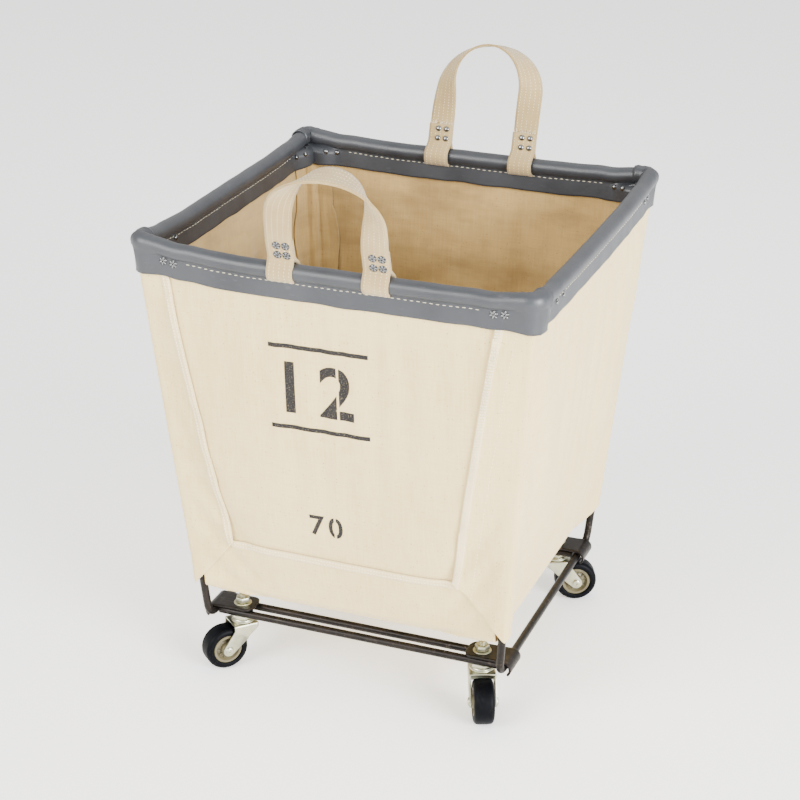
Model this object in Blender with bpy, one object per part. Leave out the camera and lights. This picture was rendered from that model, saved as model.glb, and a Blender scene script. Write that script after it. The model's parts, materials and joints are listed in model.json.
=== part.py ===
"""Canvas basket truck on four swivel casters: a tapered tub on a steel wire frame.

Metres, +Z up. The origin is on the floor under the middle of the basket, -Y is the front.
"""
import math

import bmesh
import bpy
from mathutils import Matrix, Vector

# ---------------------------------------------------------------- driving dimensions
rimHalfX = 0.216            # middle of the rim rod, left to right
rimHalfY = 0.219            # middle of the rim rod, front to back
rimHeight = 0.519           # middle of the rim rod above the floor
bottomHalfX = 0.1855        # canvas bottom, left to right
bottomHalfY = 0.180         # canvas bottom, front to back
bottomHeight = 0.1106       # underside of the canvas bottom
gap = 0.0003                # between pieces that touch

rimRodRadius = 0.00475
rimCornerRadius = 0.008
canvasThickness = 0.0015
canvasSpace = 0.0006        # slack between the rim rod and the hem
hemDepth = 0.025            # how far the turned-in hem reaches below the rim
vinylThickness = 0.0016
vinylSpace = 0.00085        # slack between the hem and the binding
skirtDepth = 0.029          # how far the binding reaches below the rim
cornerRelief = 0.014        # hem and inner skirt stop this far from each corner
bottomFold = 0.009          # radius where the walls turn into the bottom
bottomCornerRadius = 0.010

wrapTop = 0.033             # body's edge on the front and back, beside each panel under the rim
wrapBottom = 0.0505
wrapRise = 0.0694           # the same edge above the bottom

wireRadius = 0.0045
wireBendRadius = 0.016
wireTopClearance = 0.0015   # upright to the canvas corner, along X and along Y
wireBottomClearance = 0.0035
sleeveThickness = 0.0012
sleeveReach = 0.017         # flap of a corner sleeve along each wall
sleeveTopDrop = 0.033
sleeveBottomRise = 0.022
wireHoleClearance = 0.003   # opening in each bottom corner round the upright

stemInsetX = 0.0405         # caster's axis inside the canvas bottom's edges
stemInsetY = 0.0400
stemRadius = 0.00475
stemSlack = 0.0011          # between the stem and each cross rod
stemRise = 0.004            # stem above the nut
kingpinRadius = 0.0050
kingpinHeadRadius = 0.0072
kingpinHeadHeight = 0.0026
flangeAcross = 0.0240       # hexagon flange, across its flats
flangeHeight = 0.0038
nutAcross = 0.0143
nutHeight = 0.0067
washerRadius = 0.0103
washerHeight = 0.0016
holeSlack = 0.0004

plateThickness = 0.0025
plateInner = 0.017          # plate past the stem, towards the middle
plateHalfWidth = 0.0165
plateCornerRadius = 0.008
curlClearance = 0.0021      # between the side wire and the curl, on average
curlOutward = 0.0009
curlDrop = 0.0006

wheelRadius = 0.0254
tyreWidth = 0.023
tyreShoulder = 0.0055
coreRadius = 0.017
coreWidth = 0.0215
coreRim = 0.0034
coreRecess = 0.0045
hubRadius = 0.0072
hubSideGap = 0.0006         # hub to fork leg
axleRadius = 0.0030
axleHeadRadius = 0.0050
axleHeadHeight = 0.0020
tyreLead = 0.0014           # tyre's leading edge ahead of the swivel axis
forkThickness = 0.0020
forkSideGap = 0.0016        # tyre to fork leg
forkTopGap = 0.0022         # tyre to fork crown
forkFront = 0.0135
forkRear = 0.0165
forkEyeRadius = 0.0068
forkFrontDrop = 0.0070
forkTyreGap = 0.00068       # tyre to the lower edge of the fork's closed front
racewayRadius = 0.0140
racewayHeight = 0.0036
swivelGap = 0.0003

strapWidth = 0.0285
strapThickness = 0.0026
strapSlack = 0.0004         # binding to the strap's loop
frontHandleX = 0.0           # middle of each handle, left to right
backHandleX = 0.0075
handleHalfSpan = 0.052
handleHeight = 0.127        # rim rod to the top of the arch
lapHeight = 0.033           # rim rod to the strap's cut end
pinchHeight = 0.020         # where the strap's two plies meet above the rim
handleLean = 12.0           # degrees outwards
slitSideSlack = 0.0006
slitSlack = 0.0005

swivelAngles = {"fl": 228.0, "fr": -66.0, "bl": 165.0, "br": 24.0}
cornerSigns = {"fl": (-1, -1), "fr": (1, -1), "bl": (-1, 1), "br": (1, 1)}

# ---------------------------------------------------------------- sizes that follow
tyreFacets = 28
stemX = bottomHalfX - stemInsetX
stemY = bottomHalfY - stemInsetY
trail = wheelRadius - tyreLead
panelTopHalf = rimHalfX - wrapTop
panelBottomHalf = bottomHalfX - wrapBottom
panelBottomHeight = bottomHeight + wrapRise
wireTopInset = wireRadius + wireTopClearance
wireBottomInset = wireRadius + wireBottomClearance
wireHoleRadius = wireRadius + wireHoleClearance
axleHeight = wheelRadius * math.cos(math.pi / tyreFacets)
hemRadius = rimRodRadius + canvasSpace + canvasThickness / 2
bindingRadius = hemRadius + canvasThickness / 2 + vinylSpace + vinylThickness / 2
plyOffset = canvasThickness / 2 + gap / 2 + 0.00005
skirtOffset = plyOffset + canvasThickness / 2 + gap + vinylThickness / 2
forkCrownUnder = axleHeight + wheelRadius + forkTopGap
forkCrownTop = forkCrownUnder + forkThickness
forkWallX = forkThickness - forkFront
forkWallZ = forkCrownTop - forkFrontDrop
forkFrontReach = math.hypot(trail - forkWallX, forkWallZ - axleHeight) - wheelRadius - forkTyreGap
racewayBottom = forkCrownTop + gap
flangeBottom = racewayBottom + racewayHeight + swivelGap
flangeTop = flangeBottom + flangeHeight
rodHeight = flangeTop + gap + wireRadius
plateUnder = rodHeight + wireRadius + gap
washerBottom = plateUnder + plateThickness + gap
nutBottom = washerBottom + washerHeight + gap
stemTop = nutBottom + nutHeight + stemRise
rodSpacing = stemRadius + stemSlack + wireRadius
forkInner = tyreWidth / 2 + forkSideGap
loopRadius = bindingRadius + vinylThickness / 2 + strapSlack + strapThickness / 2


def material(name, colour, roughness, metallic=0.0):
    """A Principled material for one kind of sub-part."""
    found = bpy.data.materials.get(name) or bpy.data.materials.new(name)
    found.use_nodes = True
    shader = found.node_tree.nodes["Principled BSDF"]
    shader.inputs["Base Color"].default_value = (*colour, 1.0)
    shader.inputs["Roughness"].default_value = roughness
    shader.inputs["Metallic"].default_value = metallic
    return found


def place(name, mesh, finish, parent=None, smooth=None):
    """Put a mesh in the scene as one named sub-part."""
    piece = bpy.data.objects.new(name, mesh)
    bpy.context.collection.objects.link(piece)
    mesh.materials.append(finish)
    piece.parent = parent
    if smooth:
        mesh.shade_smooth()
        mesh.set_sharp_from_angle(angle=math.radians(smooth))
    return piece


def meshFrom(name, points, faces):
    """A mesh from points and faces, with its faces turned outwards."""
    work = bmesh.new()
    vertices = [work.verts.new(point) for point in points]
    for face in faces:
        work.faces.new([vertices[i] for i in face])
    bmesh.ops.recalc_face_normals(work, faces=work.faces)
    mesh = bpy.data.meshes.new(name)
    work.to_mesh(mesh)
    work.free()
    return mesh


def turned(name, profile, sides, turn=0.0):
    """A closed ring of (radius, height) points turned about Z; radius 0 closes on the axis."""
    points, rows = [], []
    for radius, height in profile:
        if radius < 1e-7:
            rows.append([len(points)] * sides)
            points.append((0, 0, height))
            continue
        rows.append(list(range(len(points), len(points) + sides)))
        for k in range(sides):
            angle = turn + 2 * math.pi * k / sides
            points.append((radius * math.cos(angle), radius * math.sin(angle), height))
    onAxis = profile[0][0] < 1e-7
    pairs = list(zip(rows, rows[1:])) if onAxis else list(zip(rows, rows[1:] + rows[:1]))
    faces = []
    for low, high in pairs:
        for k in range(sides):
            n = (k + 1) % sides
            corners = [low[k], low[n], high[n], high[k]]
            faces.append([c for i, c in enumerate(corners) if c not in corners[:i]])
    return meshFrom(name, points, faces)


def swept(name, path, radius, sides=10, closed=False):
    """A round rod along a path of points."""
    points, faces = [], []
    count = len(path)
    side = None
    for i, here in enumerate(path):
        before = path[i - 1] if (i or closed) else here
        after = path[(i + 1) % count] if (i < count - 1 or closed) else here
        tangent = (after - before).normalized()
        incoming = (here - before).normalized() if (i or closed) else tangent
        if side is None:
            side = tangent.orthogonal().normalized()
        side = (side - tangent * side.dot(tangent)).normalized()
        other = tangent.cross(side)
        bend = max(0.5, tangent.dot(incoming)) if (closed or 0 < i < count - 1) else 1.0
        inward = (before + after - 2 * here)
        inward = inward.normalized() if inward.length > 1e-7 and bend < 0.99999 else None
        for k in range(sides):
            angle = 2 * math.pi * k / sides
            offset = side * math.cos(angle) + other * math.sin(angle)
            if inward:
                offset += inward * offset.dot(inward) * (1 / bend - 1)
            points.append(here + offset * radius)
    stretches = count if closed else count - 1
    for i in range(stretches):
        for k in range(sides):
            n = (k + 1) % sides
            j = (i + 1) % count
            faces.append([i * sides + k, i * sides + n, j * sides + n, j * sides + k])
    if not closed:
        faces.append(list(range(sides)))
        faces.append([(count - 1) * sides + k for k in range(sides)])
    return meshFrom(name, points, faces)


def prism(name, outline, low, high, axis="Z"):
    """An outline of (a, b) points pulled from low to high along an axis."""
    order = {"Z": lambda a, b, c: (a, b, c), "Y": lambda a, b, c: (a, c, b)}[axis]
    count = len(outline)
    points = [order(a, b, c) for c in (low, high) for a, b in outline]
    faces = [list(range(count)), list(range(count, 2 * count))]
    for k in range(count):
        n = (k + 1) % count
        faces.append([k, n, count + n, count + k])
    return meshFrom(name, points, faces)


def cut(piece, cutters):
    """Take the cutters' volume out of a piece."""
    for cutter in cutters:
        cutter.hide_render = True
        cutter.display_type = "WIRE"
        step = piece.modifiers.new("cut", "BOOLEAN")
        step.operation = "DIFFERENCE"
        step.solver = "EXACT"
        step.object = cutter


def arc(centre, radius, start, end, steps):
    """Points (a, b) on an arc, in degrees from the first axis."""
    angles = [math.radians(start + (end - start) * i / steps) for i in range(steps + 1)]
    return [(centre[0] + radius * math.cos(t), centre[1] + radius * math.sin(t)) for t in angles]


def roundedBox(halfA, halfB, radius, steps):
    """A rounded rectangle's outline, anticlockwise from the first corner's start."""
    outline = []
    for signA, signB, start in ((1, 1, 0), (-1, 1, 90), (-1, -1, 180), (1, -1, 270)):
        centre = (signA * (halfA - radius), signB * (halfB - radius))
        outline += arc(centre, radius, start, start + 90, steps)
    return outline


def thicken(piece, thickness):
    """Give a sheet its thickness, half to each side."""
    step = piece.modifiers.new("thickness", "SOLIDIFY")
    step.thickness = thickness
    step.offset = 0.0
    step.use_even_offset = True
    step.use_quality_normals = True


# ---------------------------------------------------------------- rim and canvas
def wallHalf(height, top, bottom):
    """Half size of the tub's wall at a height: upright behind the binding, then tapered."""
    start = rimHeight - skirtDepth
    if height >= start:
        return top
    return top + (bottom - top) * (start - height) / (start - bottomHeight)


def rollRows(radius, offset, steps):
    """(offset, height) points over the rim, from its inner side to its outer side."""
    low = math.degrees(math.asin(math.sqrt(radius ** 2 - offset ** 2) / radius))
    return [(-a, b) for a, b in arc((0, rimHeight), radius, -low, 180 + low, steps)]


def hemRows():
    """Canvas rows from the turned-in edge, over the rim rod, to the outer wall."""
    rows = [(-plyOffset, rimHeight - hemDepth)]
    rows += rollRows(hemRadius, plyOffset, 12)
    rows.append((plyOffset, rimHeight - skirtDepth))
    return rows


def panelHalf(height):
    """Half width of the front and back panels at a height."""
    start = rimHeight - skirtDepth
    share = min(1.0, (height - panelBottomHeight) / (start - panelBottomHeight))
    return panelBottomHalf + (panelTopHalf - panelBottomHalf) * share


def canvasRing(offset, height, inset, panelWidth):
    """One level of the tub: its corners and the columns that the panels' edges follow."""
    halfX = wallHalf(height, rimHalfX, bottomHalfX - plyOffset - canvasThickness / 2) + offset - inset
    halfY = wallHalf(height, rimHalfY, bottomHalfY - plyOffset - canvasThickness / 2) + offset - inset
    share = min(1.0, (rimHeight - height) / (rimHeight - bottomHeight))
    radius = rimCornerRadius + offset + (bottomCornerRadius - rimCornerRadius) * max(0.0, share) - inset
    radius = max(radius, 0.0012)
    reliefX = halfX - offset - cornerRelief
    reliefY = halfY - offset - cornerRelief
    ring = []
    for signX, signY, start in ((1, 1, 0), (-1, 1, 90), (-1, -1, 180), (1, -1, 270)):
        centre = (signX * (halfX - radius), signY * (halfY - radius))
        corner = arc(centre, radius, start, start + 90, 4)
        if start in (0, 180):
            ring.append((signX * halfX, signY * reliefY))
            ring += corner
            ring += [(signX * reliefX, signY * halfY), (signX * panelWidth, signY * halfY)]
        else:
            ring += [(signX * panelWidth, signY * halfY), (signX * reliefX, signY * halfY)]
            ring += corner
            ring.append((signX * halfX, signY * reliefY))
    return [(x, y, height) for x, y in ring]


def makeCanvasBody(finish):
    """Left side, bottom and right side with the edges that wrap on to front and back."""
    rows = [(offset, height, 0.0) for offset, height in hemRows()]
    hemCount = len(rows)
    middleHeight = (rimHeight - skirtDepth + panelBottomHeight) / 2
    rows += [(plyOffset, middleHeight, 0.0), (plyOffset, panelBottomHeight, 0.0)]
    windowEnd = len(rows) - 1
    floor = bottomHeight + canvasThickness / 2
    for inset, height in [(bottomFold * (1 - math.cos(t)), floor + bottomFold * (1 - math.sin(t)))
                          for t in [math.radians(22.5 * i) for i in range(5)]]:
        rows.append((plyOffset, height, inset))
    rings = [canvasRing(offset, height, inset, panelHalf(max(height, panelBottomHeight)) + gap / 2)
             for offset, height, inset in rows]
    count = len(rings[0])
    points = [point for ring in rings for point in ring]
    faces = []
    relieved = round(hemCount / 2) - 1
    for i in range(len(rings) - 1):
        for k in range(count):
            n = (k + 1) % count
            section, column = divmod(k, count // 4)
            startsOnSide = section in (0, 2)
            isWindow = startsOnSide and column == count // 4 - 1
            isCorner = column < count // 4 - 2 if startsOnSide else 1 <= column < count // 4 - 1
            if isWindow and i < windowEnd:
                continue
            if isCorner and i < relieved - 1:
                continue
            faces.append([i * count + k, i * count + n, (i + 1) * count + n, (i + 1) * count + k])
    faces.append([(len(rings) - 1) * count + k for k in range(count)])
    used = sorted({i for face in faces for i in face})
    index = {old: new for new, old in enumerate(used)}
    mesh = meshFrom("canvas_body", [points[i] for i in used], [[index[i] for i in f] for f in faces])
    piece = place("canvas_body", mesh, finish, smooth=35)
    thicken(piece, canvasThickness)
    holes = []
    for corner, (signX, signY) in cornerSigns.items():
        foot, head = uprightEnds(signX, signY)
        axis = (head - foot).normalized()
        low = foot + axis * ((bottomHeight - 0.012 - foot.z) / axis.z)
        high = foot + axis * ((bottomHeight + 0.012 - foot.z) / axis.z)
        hole = place("hole_" + corner, swept("hole", [low, high], wireHoleRadius, 12), finish)
        holes.append(hole)
    cut(piece, holes)


def makePanel(name, signY, finish, slits):
    """A trapezoid of canvas from the bottom seam up and over the rim rod."""
    rows = hemRows()
    middleHeight = (rimHeight - skirtDepth + panelBottomHeight) / 2
    rows += [(plyOffset, middleHeight), (plyOffset, panelBottomHeight + gap)]
    points, faces = [], []
    for offset, height in rows:
        halfY = wallHalf(height, rimHalfY, bottomHalfY - plyOffset - canvasThickness / 2) + offset
        halfX = panelHalf(height) - gap / 2
        points += [(-halfX, signY * halfY, height), (halfX, signY * halfY, height)]
    for i in range(len(rows) - 1):
        faces.append([2 * i, 2 * i + 1, 2 * i + 3, 2 * i + 2])
    piece = place(name, meshFrom(name, points, faces), finish, smooth=35)
    thicken(piece, canvasThickness)
    cut(piece, slits)


def makeBinding(name, alongX, sign, finish, slits=()):
    """A strip of vinyl folded over one side of the rim, mitred at both ends."""
    half, across = (rimHalfX, rimHalfY) if alongX else (rimHalfY, rimHalfX)
    skin = vinylThickness / 2
    low = rimHeight - skirtDepth
    outer = [(-skirtOffset - skin, low)] + rollRows(bindingRadius + skin, skirtOffset + skin, 16)
    outer.append((skirtOffset + skin, low))
    inner = [(-skirtOffset + skin, low)] + rollRows(bindingRadius - skin, skirtOffset - skin, 16)
    inner.append((skirtOffset - skin, low))
    profile = outer + inner[::-1]
    points, faces = [], []
    for end in (-1, 1):
        for offset, height in profile:
            along = end * (half + offset - gap)
            spot = (along, sign * (across + offset)) if alongX else (sign * (across + offset), along)
            points.append((*spot, height))
    count = len(profile)
    faces = [list(range(count)), list(range(count, 2 * count))]
    for k in range(count):
        n = (k + 1) % count
        faces.append([k, n, count + n, count + k])
    piece = place(name, meshFrom(name, points, faces), finish, smooth=35)
    cut(piece, list(slits) + makeReliefs(name, half, across, alongX, sign, finish))


def makeReliefs(name, half, across, alongX, sign, finish):
    """Cutters that stop the inner skirt and the underside of the roll short of each corner."""
    near = across - skirtOffset + vinylThickness / 2 + gap
    far = across - bindingRadius - 2 * vinylThickness
    reliefs = []
    for end in (-1, 1):
        starts = (end * (half - cornerRelief), end * (half + vinylThickness))
        if alongX:
            outline = [(x, sign * y) for x, y in ((starts[0], near), (starts[1], near), (starts[1], far),
                                                  (starts[0], far))]
        else:
            outline = [(sign * x, y) for x, y in ((near, starts[0]), (near, starts[1]), (far, starts[1]),
                                                  (far, starts[0]))]
        label = name + ("_relief_a" if end < 0 else "_relief_b")
        mesh = prism(label, outline, rimHeight - skirtDepth - 0.004, rimHeight + 0.0015)
        reliefs.append(place(label, mesh, finish))
    return reliefs


def makeSlits(prefix, signY, middle, finish):
    """Cutters for the two slits that a handle's loops pass through, under the rim roll."""
    low = rimHeight - loopRadius - strapThickness / 2 - slitSlack
    reach = skirtOffset + vinylThickness
    inner = math.sqrt((loopRadius - strapThickness / 2) ** 2 - reach ** 2)
    high = rimHeight - inner + slitSlack
    slits = []
    for label, side in (("l", -1), ("r", 1)):
        centreX = middle + side * handleHalfSpan
        half = strapWidth / 2 + slitSideSlack
        outline = [(centreX - half, signY * rimHalfY - reach), (centreX + half, signY * rimHalfY - reach),
                   (centreX + half, signY * rimHalfY + reach), (centreX - half, signY * rimHalfY + reach)]
        mesh = prism(prefix + label, outline, low, high)
        slits.append(place(prefix + label, mesh, finish))
    return slits


def makeRimRod(finish):
    outline = roundedBox(rimHalfX, rimHalfY, rimCornerRadius, 4)
    path = [Vector((x, y, rimHeight)) for x, y in outline]
    place("rim_rod", swept("rim_rod", path, rimRodRadius, 10, closed=True), finish, smooth=40)


# ---------------------------------------------------------------- wire frame
def uprightEnds(signX, signY):
    """The straight line of an upright: its foot on the side rod's level and its top end."""
    topZ = rimHeight - rimRodRadius - gap - 0.0002
    top = Vector((rimHalfX - wireTopInset, rimHalfY - wireTopInset, topZ))
    low = Vector((bottomHalfX - wireBottomInset, bottomHalfY - wireBottomInset, bottomHeight))
    foot = low + (low - top) * (bottomHeight - rodHeight) / (topZ - bottomHeight)
    return Vector((signX * foot.x, signY * foot.y, rodHeight)), Vector((signX * top.x, signY * top.y, topZ))


def filletPath(before, corner, after, radius, steps):
    """Points of a round bend at a corner of a path."""
    a = (before - corner).normalized()
    b = (after - corner).normalized()
    half = a.angle(b) / 2
    centre = corner + (a + b).normalized() * (radius / math.sin(half))
    start = corner + a * (radius / math.tan(half))
    end = corner + b * (radius / math.tan(half))
    u = (start - centre).normalized()
    normal = u.cross((end - centre).normalized()).normalized()
    sweep = (start - centre).angle(end - centre)
    return [centre + (Matrix.Rotation(sweep * i / steps, 3, normal) @ u) * radius for i in range(steps + 1)]


def makeSideWires(finish):
    for name, signX in (("side_wire_left", -1), ("side_wire_right", 1)):
        frontFoot, frontHead = uprightEnds(signX, -1)
        backFoot, backHead = uprightEnds(signX, 1)
        path = [frontHead]
        path += filletPath(frontHead, frontFoot, backFoot, wireBendRadius, 6)
        path += filletPath(frontFoot, backFoot, backHead, wireBendRadius, 6)
        path.append(backHead)
        place(name, swept(name, path, wireRadius), finish, smooth=40)


def makeCrossRods(finish):
    reach = uprightEnds(1, 1)[0].x - wireRadius - 2 * gap
    for side, signY in (("front", -1), ("back", 1)):
        for layer, shift in (("outer", 1), ("inner", -1)):
            name = "cross_rod_" + side + "_" + layer
            y = signY * (stemY + shift * rodSpacing)
            ends = [Vector((-reach, y, rodHeight)), Vector((reach, y, rodHeight))]
            place(name, swept(name, ends, wireRadius), finish, smooth=40)


def makeSleeves(finish):
    """Canvas folded round each upright, with a flap along each wall."""
    inner = canvasThickness / 2 + gap + sleeveThickness / 2
    bulge = wireRadius + gap + sleeveThickness / 2 + 0.0004
    for corner, (signX, signY) in cornerSigns.items():
        foot, head = uprightEnds(signX, signY)
        points = []
        heights = (rimHeight - sleeveTopDrop, bottomHeight + sleeveBottomRise)
        for height in heights:
            share = (height - foot.z) / (head.z - foot.z)
            rod = foot + (head - foot) * share
            wallX = wallHalf(height, rimHalfX, bottomHalfX - plyOffset - canvasThickness / 2) + plyOffset - inner
            wallY = wallHalf(height, rimHalfY, bottomHalfY - plyOffset - canvasThickness / 2) + plyOffset - inner
            rodX = abs(rod.x)
            rodY = abs(rod.y)
            outline = [(wallX, rodY - bulge - sleeveReach), (wallX, rodY - bulge - 0.003)]
            outline += arc((rodX, rodY), bulge, 280, 170, 6)
            outline += [(rodX - bulge - 0.003, wallY), (rodX - bulge - sleeveReach, wallY)]
            points += [(signX * x, signY * y, height) for x, y in outline]
        count = len(points) // 2
        faces = [[k, k + 1, count + k + 1, count + k] for k in range(count - 1)]
        piece = place("sleeve_" + corner, meshFrom("sleeve", points, faces), finish, smooth=35)
        thicken(piece, sleeveThickness)


# ---------------------------------------------------------------- caster plates and casters
def hexagon(across, turn=30.0):
    """Corners of a hexagon of a given size across its flats."""
    radius = across / math.sqrt(3)
    return [(radius * math.cos(math.radians(turn + 60 * k)), radius * math.sin(math.radians(turn + 60 * k)))
            for k in range(6)]


def makePlate(corner, finish):
    """A pressed plate on the two cross rods whose outer end curls over the side wire."""
    signX, signY = cornerSigns[corner]
    curlRadius = wireRadius + curlClearance + plateThickness / 2
    centreX = uprightEnds(1, 1)[0].x + curlOutward
    centreZ = rodHeight - curlDrop
    flatZ = plateUnder + plateThickness / 2
    side = [(stemX - plateInner, flatZ), (centreX - curlRadius * 0.75, flatZ)]
    side += arc((centreX, centreZ), curlRadius, 112, -52, 8)
    points, faces = [], []
    for x, z in side:
        for y in (-plateHalfWidth, plateHalfWidth):
            points.append((signX * x, signY * stemY + y, z))
    for i in range(len(side) - 1):
        faces.append([2 * i, 2 * i + 1, 2 * i + 3, 2 * i + 2])
    piece = place("plate_" + corner, meshFrom("plate", points, faces), finish, smooth=35)
    thicken(piece, plateThickness)
    cutters = []
    hole = swept("hole", [Vector((signX * stemX, signY * stemY, plateUnder - 0.004)),
                          Vector((signX * stemX, signY * stemY, plateUnder + 0.008))], stemRadius + holeSlack, 12)
    cutters.append(place("plate_hole_" + corner, hole, finish))
    innerX = stemX - plateInner
    for signEnd in (-1, 1):
        edge = signY * stemY + signEnd * plateHalfWidth
        outline = [(signX * (innerX - 0.002), edge + signEnd * 0.002)]
        centre = (innerX + plateCornerRadius, edge - signEnd * plateCornerRadius)
        curve = arc((0, 0), plateCornerRadius, 180, 90, 5)
        outline.append((signX * (innerX - 0.002), centre[1]))
        outline += [(signX * (centre[0] + a), centre[1] + signEnd * b) for a, b in curve]
        outline.append((signX * centre[0], edge + signEnd * 0.002))
        name = "plate_corner_" + corner + ("_a" if signEnd < 0 else "_b")
        cutters.append(place(name, prism(name, outline, plateUnder - 0.003, plateUnder + 0.006), finish))
    cut(piece, cutters)


def hexStem(name, profileBelow, flange, profileAbove, sides=12):
    """A round stem with a hexagon flange: turned rings above and below six flats."""
    points, rows = [], []
    for radius, height in profileBelow + profileAbove:
        if len(rows) == len(profileBelow):
            for z in flange:
                corners = hexagon(flangeAcross)
                row = []
                for k in range(sides):
                    share = k * 6 / sides
                    i = int(share)
                    a, b = corners[i], corners[(i + 1) % 6]
                    part = share - i
                    row.append(len(points))
                    points.append((a[0] + (b[0] - a[0]) * part, a[1] + (b[1] - a[1]) * part, z))
                rows.append(row)
        row = []
        for k in range(sides):
            angle = math.radians(30) + 2 * math.pi * k / sides
            row.append(len(points))
            points.append((radius * math.cos(angle), radius * math.sin(angle), height))
        rows.append(row)
    faces = [list(rows[0]), list(rows[-1])]
    for low, high in zip(rows, rows[1:]):
        for k in range(sides):
            n = (k + 1) % sides
            faces.append([low[k], low[n], high[n], high[k]])
    return meshFrom(name, points, faces)


def makeStem(corner, finish):
    """Kingpin, hexagon flange and threaded stem in one piece."""
    signX, signY = cornerSigns[corner]
    headTop = forkCrownUnder - gap
    headLow = headTop - kingpinHeadHeight
    below = [(kingpinHeadRadius * 0.7, headLow), (kingpinHeadRadius, headLow + 0.0009),
             (kingpinHeadRadius, headTop), (kingpinRadius, headTop), (kingpinRadius, flangeBottom)]
    above = [(stemRadius, flangeTop), (stemRadius, stemTop - 0.0012), (stemRadius - 0.0012, stemTop)]
    mesh = hexStem("stem", below, (flangeBottom, flangeTop), above)
    piece = place("stem_" + corner, mesh, finish, smooth=40)
    piece.location = (signX * stemX, signY * stemY, 0)


def makeWasherAndNut(corner, zinc):
    signX, signY = cornerSigns[corner]
    bore = stemRadius + holeSlack
    ring = [(bore, washerBottom), (bore, washerBottom + washerHeight),
            (washerRadius, washerBottom + washerHeight), (washerRadius, washerBottom)]
    washer = place("washer_" + corner, turned("washer", ring, 16), zinc, smooth=40)
    washer.location = (signX * stemX, signY * stemY, 0)
    corners = hexagon(nutAcross, 18.0 if signX < 0 else 42.0)
    top = nutBottom + nutHeight
    inner = arc((0, 0), stemRadius + holeSlack / 2, 0, 360, 12)[:-1]
    points, faces = [], []
    turn = math.atan2(corners[0][1], corners[0][0])
    inner = [(math.cos(turn) * a - math.sin(turn) * b, math.sin(turn) * a + math.cos(turn) * b) for a, b in inner]
    outer = []
    for k in range(12):
        a, b = corners[k // 2], corners[(k // 2 + 1) % 6]
        part = (k % 2) / 2
        outer.append((a[0] + (b[0] - a[0]) * part, a[1] + (b[1] - a[1]) * part))
    for ring, height in ((inner, nutBottom), (outer, nutBottom), (outer, top - 0.0009),
                         ([(x * 0.93, y * 0.93) for x, y in outer], top), (inner, top)):
        points += [(x, y, height) for x, y in ring]
    for i in range(5):
        for k in range(12):
            n = (k + 1) % 12
            j = (i + 1) % 5
            faces.append([12 * i + k, 12 * i + n, 12 * j + n, 12 * j + k])
    nut = place("nut_" + corner, meshFrom("nut", points, faces), zinc)
    nut.location = (signX * stemX, signY * stemY, 0)


def forkOutline():
    """Side view of the fork, with the trail along the first axis."""
    eye = (trail, axleHeight)
    shoulder = (-forkFront, forkCrownTop - forkFrontDrop)
    towards = math.degrees(math.atan2(eye[1] - shoulder[1], eye[0] - shoulder[0]))
    rearCorner = (forkRear, forkCrownTop - forkFrontDrop)
    back = math.degrees(math.atan2(rearCorner[1] - eye[1], rearCorner[0] - eye[0]))
    outline = [(-forkFront, forkCrownTop), shoulder]
    outline += arc(eye, forkEyeRadius, towards - 90 - 10, back - 90 + 12, 8)
    outline += [rearCorner, (forkRear, forkCrownTop)]
    return outline


def makeFork(corner, swivel, finish):
    """A stamped fork: two legs, a crown and a closed front, open towards the wheel."""
    outer = forkInner + forkThickness
    piece = place("fork_" + corner, prism("fork", forkOutline(), -outer, outer, "Y"), finish, swivel, 35)
    eye = Vector((trail, 0, axleHeight))
    slope = Vector((trail + forkFront, 0, axleHeight - forkCrownTop + forkFrontDrop)).normalized()
    wall = (forkWallX, forkWallZ)
    lower = (wall[0] + slope.x * forkFrontReach, wall[1] + slope.z * forkFrontReach)
    inside = [(wall[0], forkCrownUnder), wall, lower, (-0.05, lower[1]), (-0.05, -0.02), (0.08, -0.02),
              (0.08, forkCrownUnder)]
    hollow = place("fork_hollow_" + corner, prism("hollow", inside, -forkInner, forkInner, "Y"), finish, swivel)
    pin = swept("hole", [Vector((0, 0, forkCrownUnder - 0.004)), Vector((0, 0, forkCrownTop + 0.004))],
                kingpinRadius + holeSlack, 12)
    axle = swept("hole", [eye + Vector((0, -0.03, 0)), eye + Vector((0, 0.03, 0))], axleRadius + holeSlack, 12)
    pinHole = place("fork_pin_hole_" + corner, pin, finish, swivel)
    axleHole = place("fork_axle_hole_" + corner, axle, finish, swivel)
    cut(piece, [hollow, pinHole, axleHole])


def makeRaceway(corner, swivel, finish):
    bore = kingpinRadius + holeSlack
    top = racewayBottom + racewayHeight
    ring = [(bore, racewayBottom), (bore, top), (racewayRadius - 0.0010, top), (racewayRadius, top - 0.0010),
            (racewayRadius, racewayBottom)]
    place("raceway_" + corner, turned("raceway", ring, 16), finish, swivel, 35)


def makeAxle(corner, wheel, finish):
    """A riveted axle with a head outside each fork leg."""
    leg = forkInner + forkThickness + gap
    head = leg + axleHeadHeight
    ring = [(0, -head), (axleHeadRadius - 0.001, -head), (axleHeadRadius, -head + 0.001), (axleHeadRadius, -leg),
            (axleRadius, -leg), (axleRadius, leg), (axleHeadRadius, leg), (axleHeadRadius, head - 0.001),
            (axleHeadRadius - 0.001, head), (0, head)]
    piece = place("axle_" + corner, turned("axle", ring, 12), finish, wheel, 35)
    piece.rotation_euler = (math.radians(90), 0, 0)


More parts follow.
